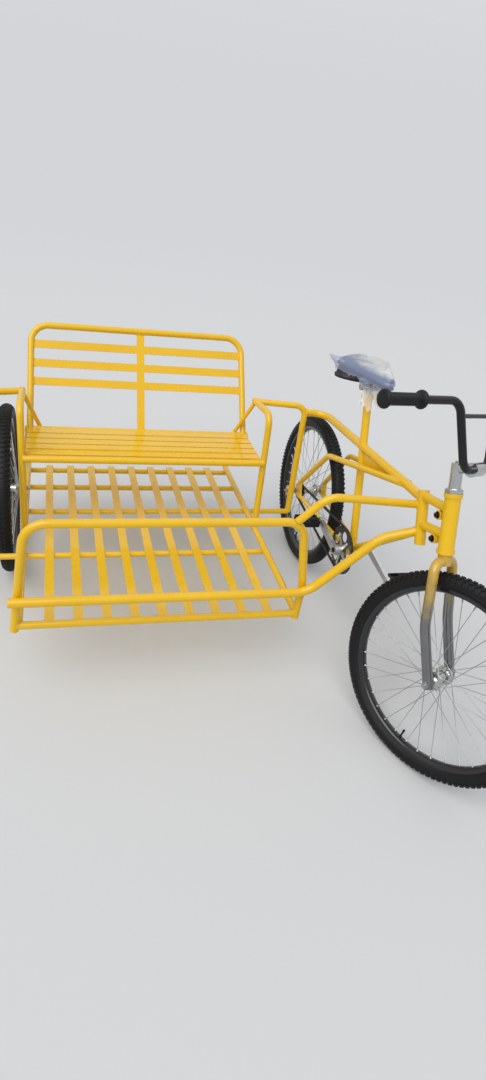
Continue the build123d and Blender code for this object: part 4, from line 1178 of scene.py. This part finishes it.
# Millimetres along the bolt and along the crank's axle, radius
ring_bolt = np.array([
    (-0.3, 0), (-0.3, 4.7), (0.9, 4.7), (1.7, 3.9), (2.0, 2.6), (1.0, 2.4), (1.0, 0),
]) / 1000
cap_section = np.array([(0, 0), (0, 10.5), (2.2, 10.5), (3.6, 9.4), (4.3, 5.0), (4.4, 0)]) / 1000
cap_place = 0.0785
ring_bolt_steps, cap_steps = 16, 24
satin, add, place = bare_material("satin_chrome_plate")
cloud(add, place, 0.016, 5, ["#DADBDB", "#B9BBBB"], (0.3, 0.46), {"Metallic": 1.0})
dress(["cranks"], satin)
arm_turn = np.pi / 2 + (np.arange(arm_count) + 0.5) / arm_count * 2 * np.pi
out = np.stack((np.cos(arm_turn), np.sin(arm_turn)), 1)
aside = np.stack((-out[:, 1], out[:, 0]), 1)
arms = wheel_middles[0] + spider_arm[:, :1] * out[:, None] + spider_arm[:, 1:] * aside[:, None]
made = [plates(arms, wheel_middles[0] + out * arm_middle, arm_low, arm_high)]
feet = beside(arm_low, wheel_middles[0] + out * ring_bolt_place)
made += [lathed(foot, (-1, 0, 0), ring_bolt, ring_bolt_steps) for foot in feet]
spider = piece("chainring_spider", *joined(made), satin, smooth=False)
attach(spider, "crankset")
caps = [lathed(crank_middle + (side * cap_place, 0, 0), (side, 0, 0), cap_section, cap_steps)
        for side in (-1, 1)]
cap_piece = piece("crank_caps", *joined(caps), soft_black)
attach(cap_piece, "crankset")

# Black hexagon bolts with washers clamp the head: two cross bolts through round lugs
# between head tube and post, one on the upper bridge. A zinc one closes the seat clamp.
lug_r, lug_half = 0.014, 0.012
lug_section = np.array([(-1, 0), (-1, 0.92), (-0.93, 1), (0.93, 1), (1, 0.92), (1, 0)])
boss_section = np.array([(-4, 0), (-4, 9), (9, 9), (10, 8), (10, 0)]) / 1000
# Places in y and z, across the head's middle
lug_places = (-0.351, 0.753), (-0.365, 0.680)
bridge_y = -0.357
# From the cranks' middle back and up to the clamp's ears, and half their width
ears_back, ears_up, ears_half = 0.2063, 0.5257, 0.010
# Widths of the hexagons across their flats, and a washer's thickness as a share of that
cross_hex, small_hex = 0.015, 0.013
washer_share = 0.11
# A hexagon head along its axis and out, and a washer's radius, as shares of its radius
hex_head = np.array([(0, 0), (0, 1), (0.62, 1), (0.75, 0.86), (0.75, 0)])
washer_reach = 1.22
washer_steps = 24
black_bolt, add, place = bare_material("blackened_bolt_steel")
cloud(add, place, 0.004, 4, ["#3A3226"], (0.34, 0.6), {"Metallic": 1.0})


def hex_bolt(foot, way, across):
    """A washer and a chamfered hexagon head, for a head this wide across its flats."""
    r = across / 2 / np.cos(np.pi / 6)
    thin, wide = across * washer_share, r * washer_reach
    disc = lathed(foot, way, [(0, 0), (0, wide), (thin, wide), (thin, 0)], washer_steps)
    return [disc, lathed(foot, way, hex_head * r + (thin, 0), hex_sides)]


lugs, bolts = [], []
for y, z in lug_places:
    middle = np.array((head_mid[0], y, z))
    lugs.append(lathed(middle, (1, 0, 0), lug_section * (lug_half, lug_r), round_steps))
    for sign in (-1, 1):
        bolts += hex_bolt(middle + (sign * lug_half, 0, 0), (sign, 0, 0), cross_hex)
bridge = skins["head_post"].ray_cast((head_mid[0], bridge_y, 1.0), (0, 0, -1))[0]
lugs.append(lathed(bridge, (0, 0, 1), boss_section, round_steps))
bolts += hex_bolt(np.array(bridge) + (0, 0, boss_section[-1, 0]), (0, 0, 1), small_hex)
lug_piece = piece("head_lugs", *joined(lugs), enamel, smooth=False)
bolt_piece = piece("head_bolts", *joined(bolts), black_bolt, smooth=False)
ears = crank_middle + (0, ears_back, ears_up)
cross = []
for sign in (1, -1):
    cross += hex_bolt(ears + (sign * ears_half, 0, 0), (sign, 0, 0), small_hex)
clamp_piece = piece("clamp_bolt", *joined(cross), zinc, smooth=False)
for made in (lug_piece, bolt_piece, clamp_piece):
    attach(made, "chassis")

# The pedals are blocks of moulded black plastic with rows of small round studs that stand
# from both faces to hold a shoe.
# Radius, share of it at the rounded ends, and how much of the length these take
stud_r, stud_tip, stud_round = 0.0016, 0.7, 0.03
stud_out = 0.0014
stud_count = 8
stud_step, stud_side = 0.0115, 0.0265
dress(["right_pedal", "left_pedal"], soft_black)
for name, body in (("right_pedal", "pedal_right"), ("left_pedal", "pedal_left")):
    low, high = (np.array(corner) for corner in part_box(name))
    middle = (low + high) / 2
    along = (np.arange(stud_count) - (stud_count - 1) / 2) * stud_step
    foot = np.array([(x, y, low[2] - stud_out) for x in along for y in (-stud_side, stud_side)])
    foot = foot + (middle[0], middle[1], 0)
    tall = high[2] - low[2] + 2 * stud_out
    radii = np.array((0, stud_tip, 1, 1, stud_tip, 0)) * stud_r
    stations = (0, 0, stud_round, 1 - stud_round, 1, 1)
    studs = rods(foot, foot + (0, 0, tall), radii, stations)
    made = piece(name + "_studs", *studs, soft_black)
    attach(made, body)
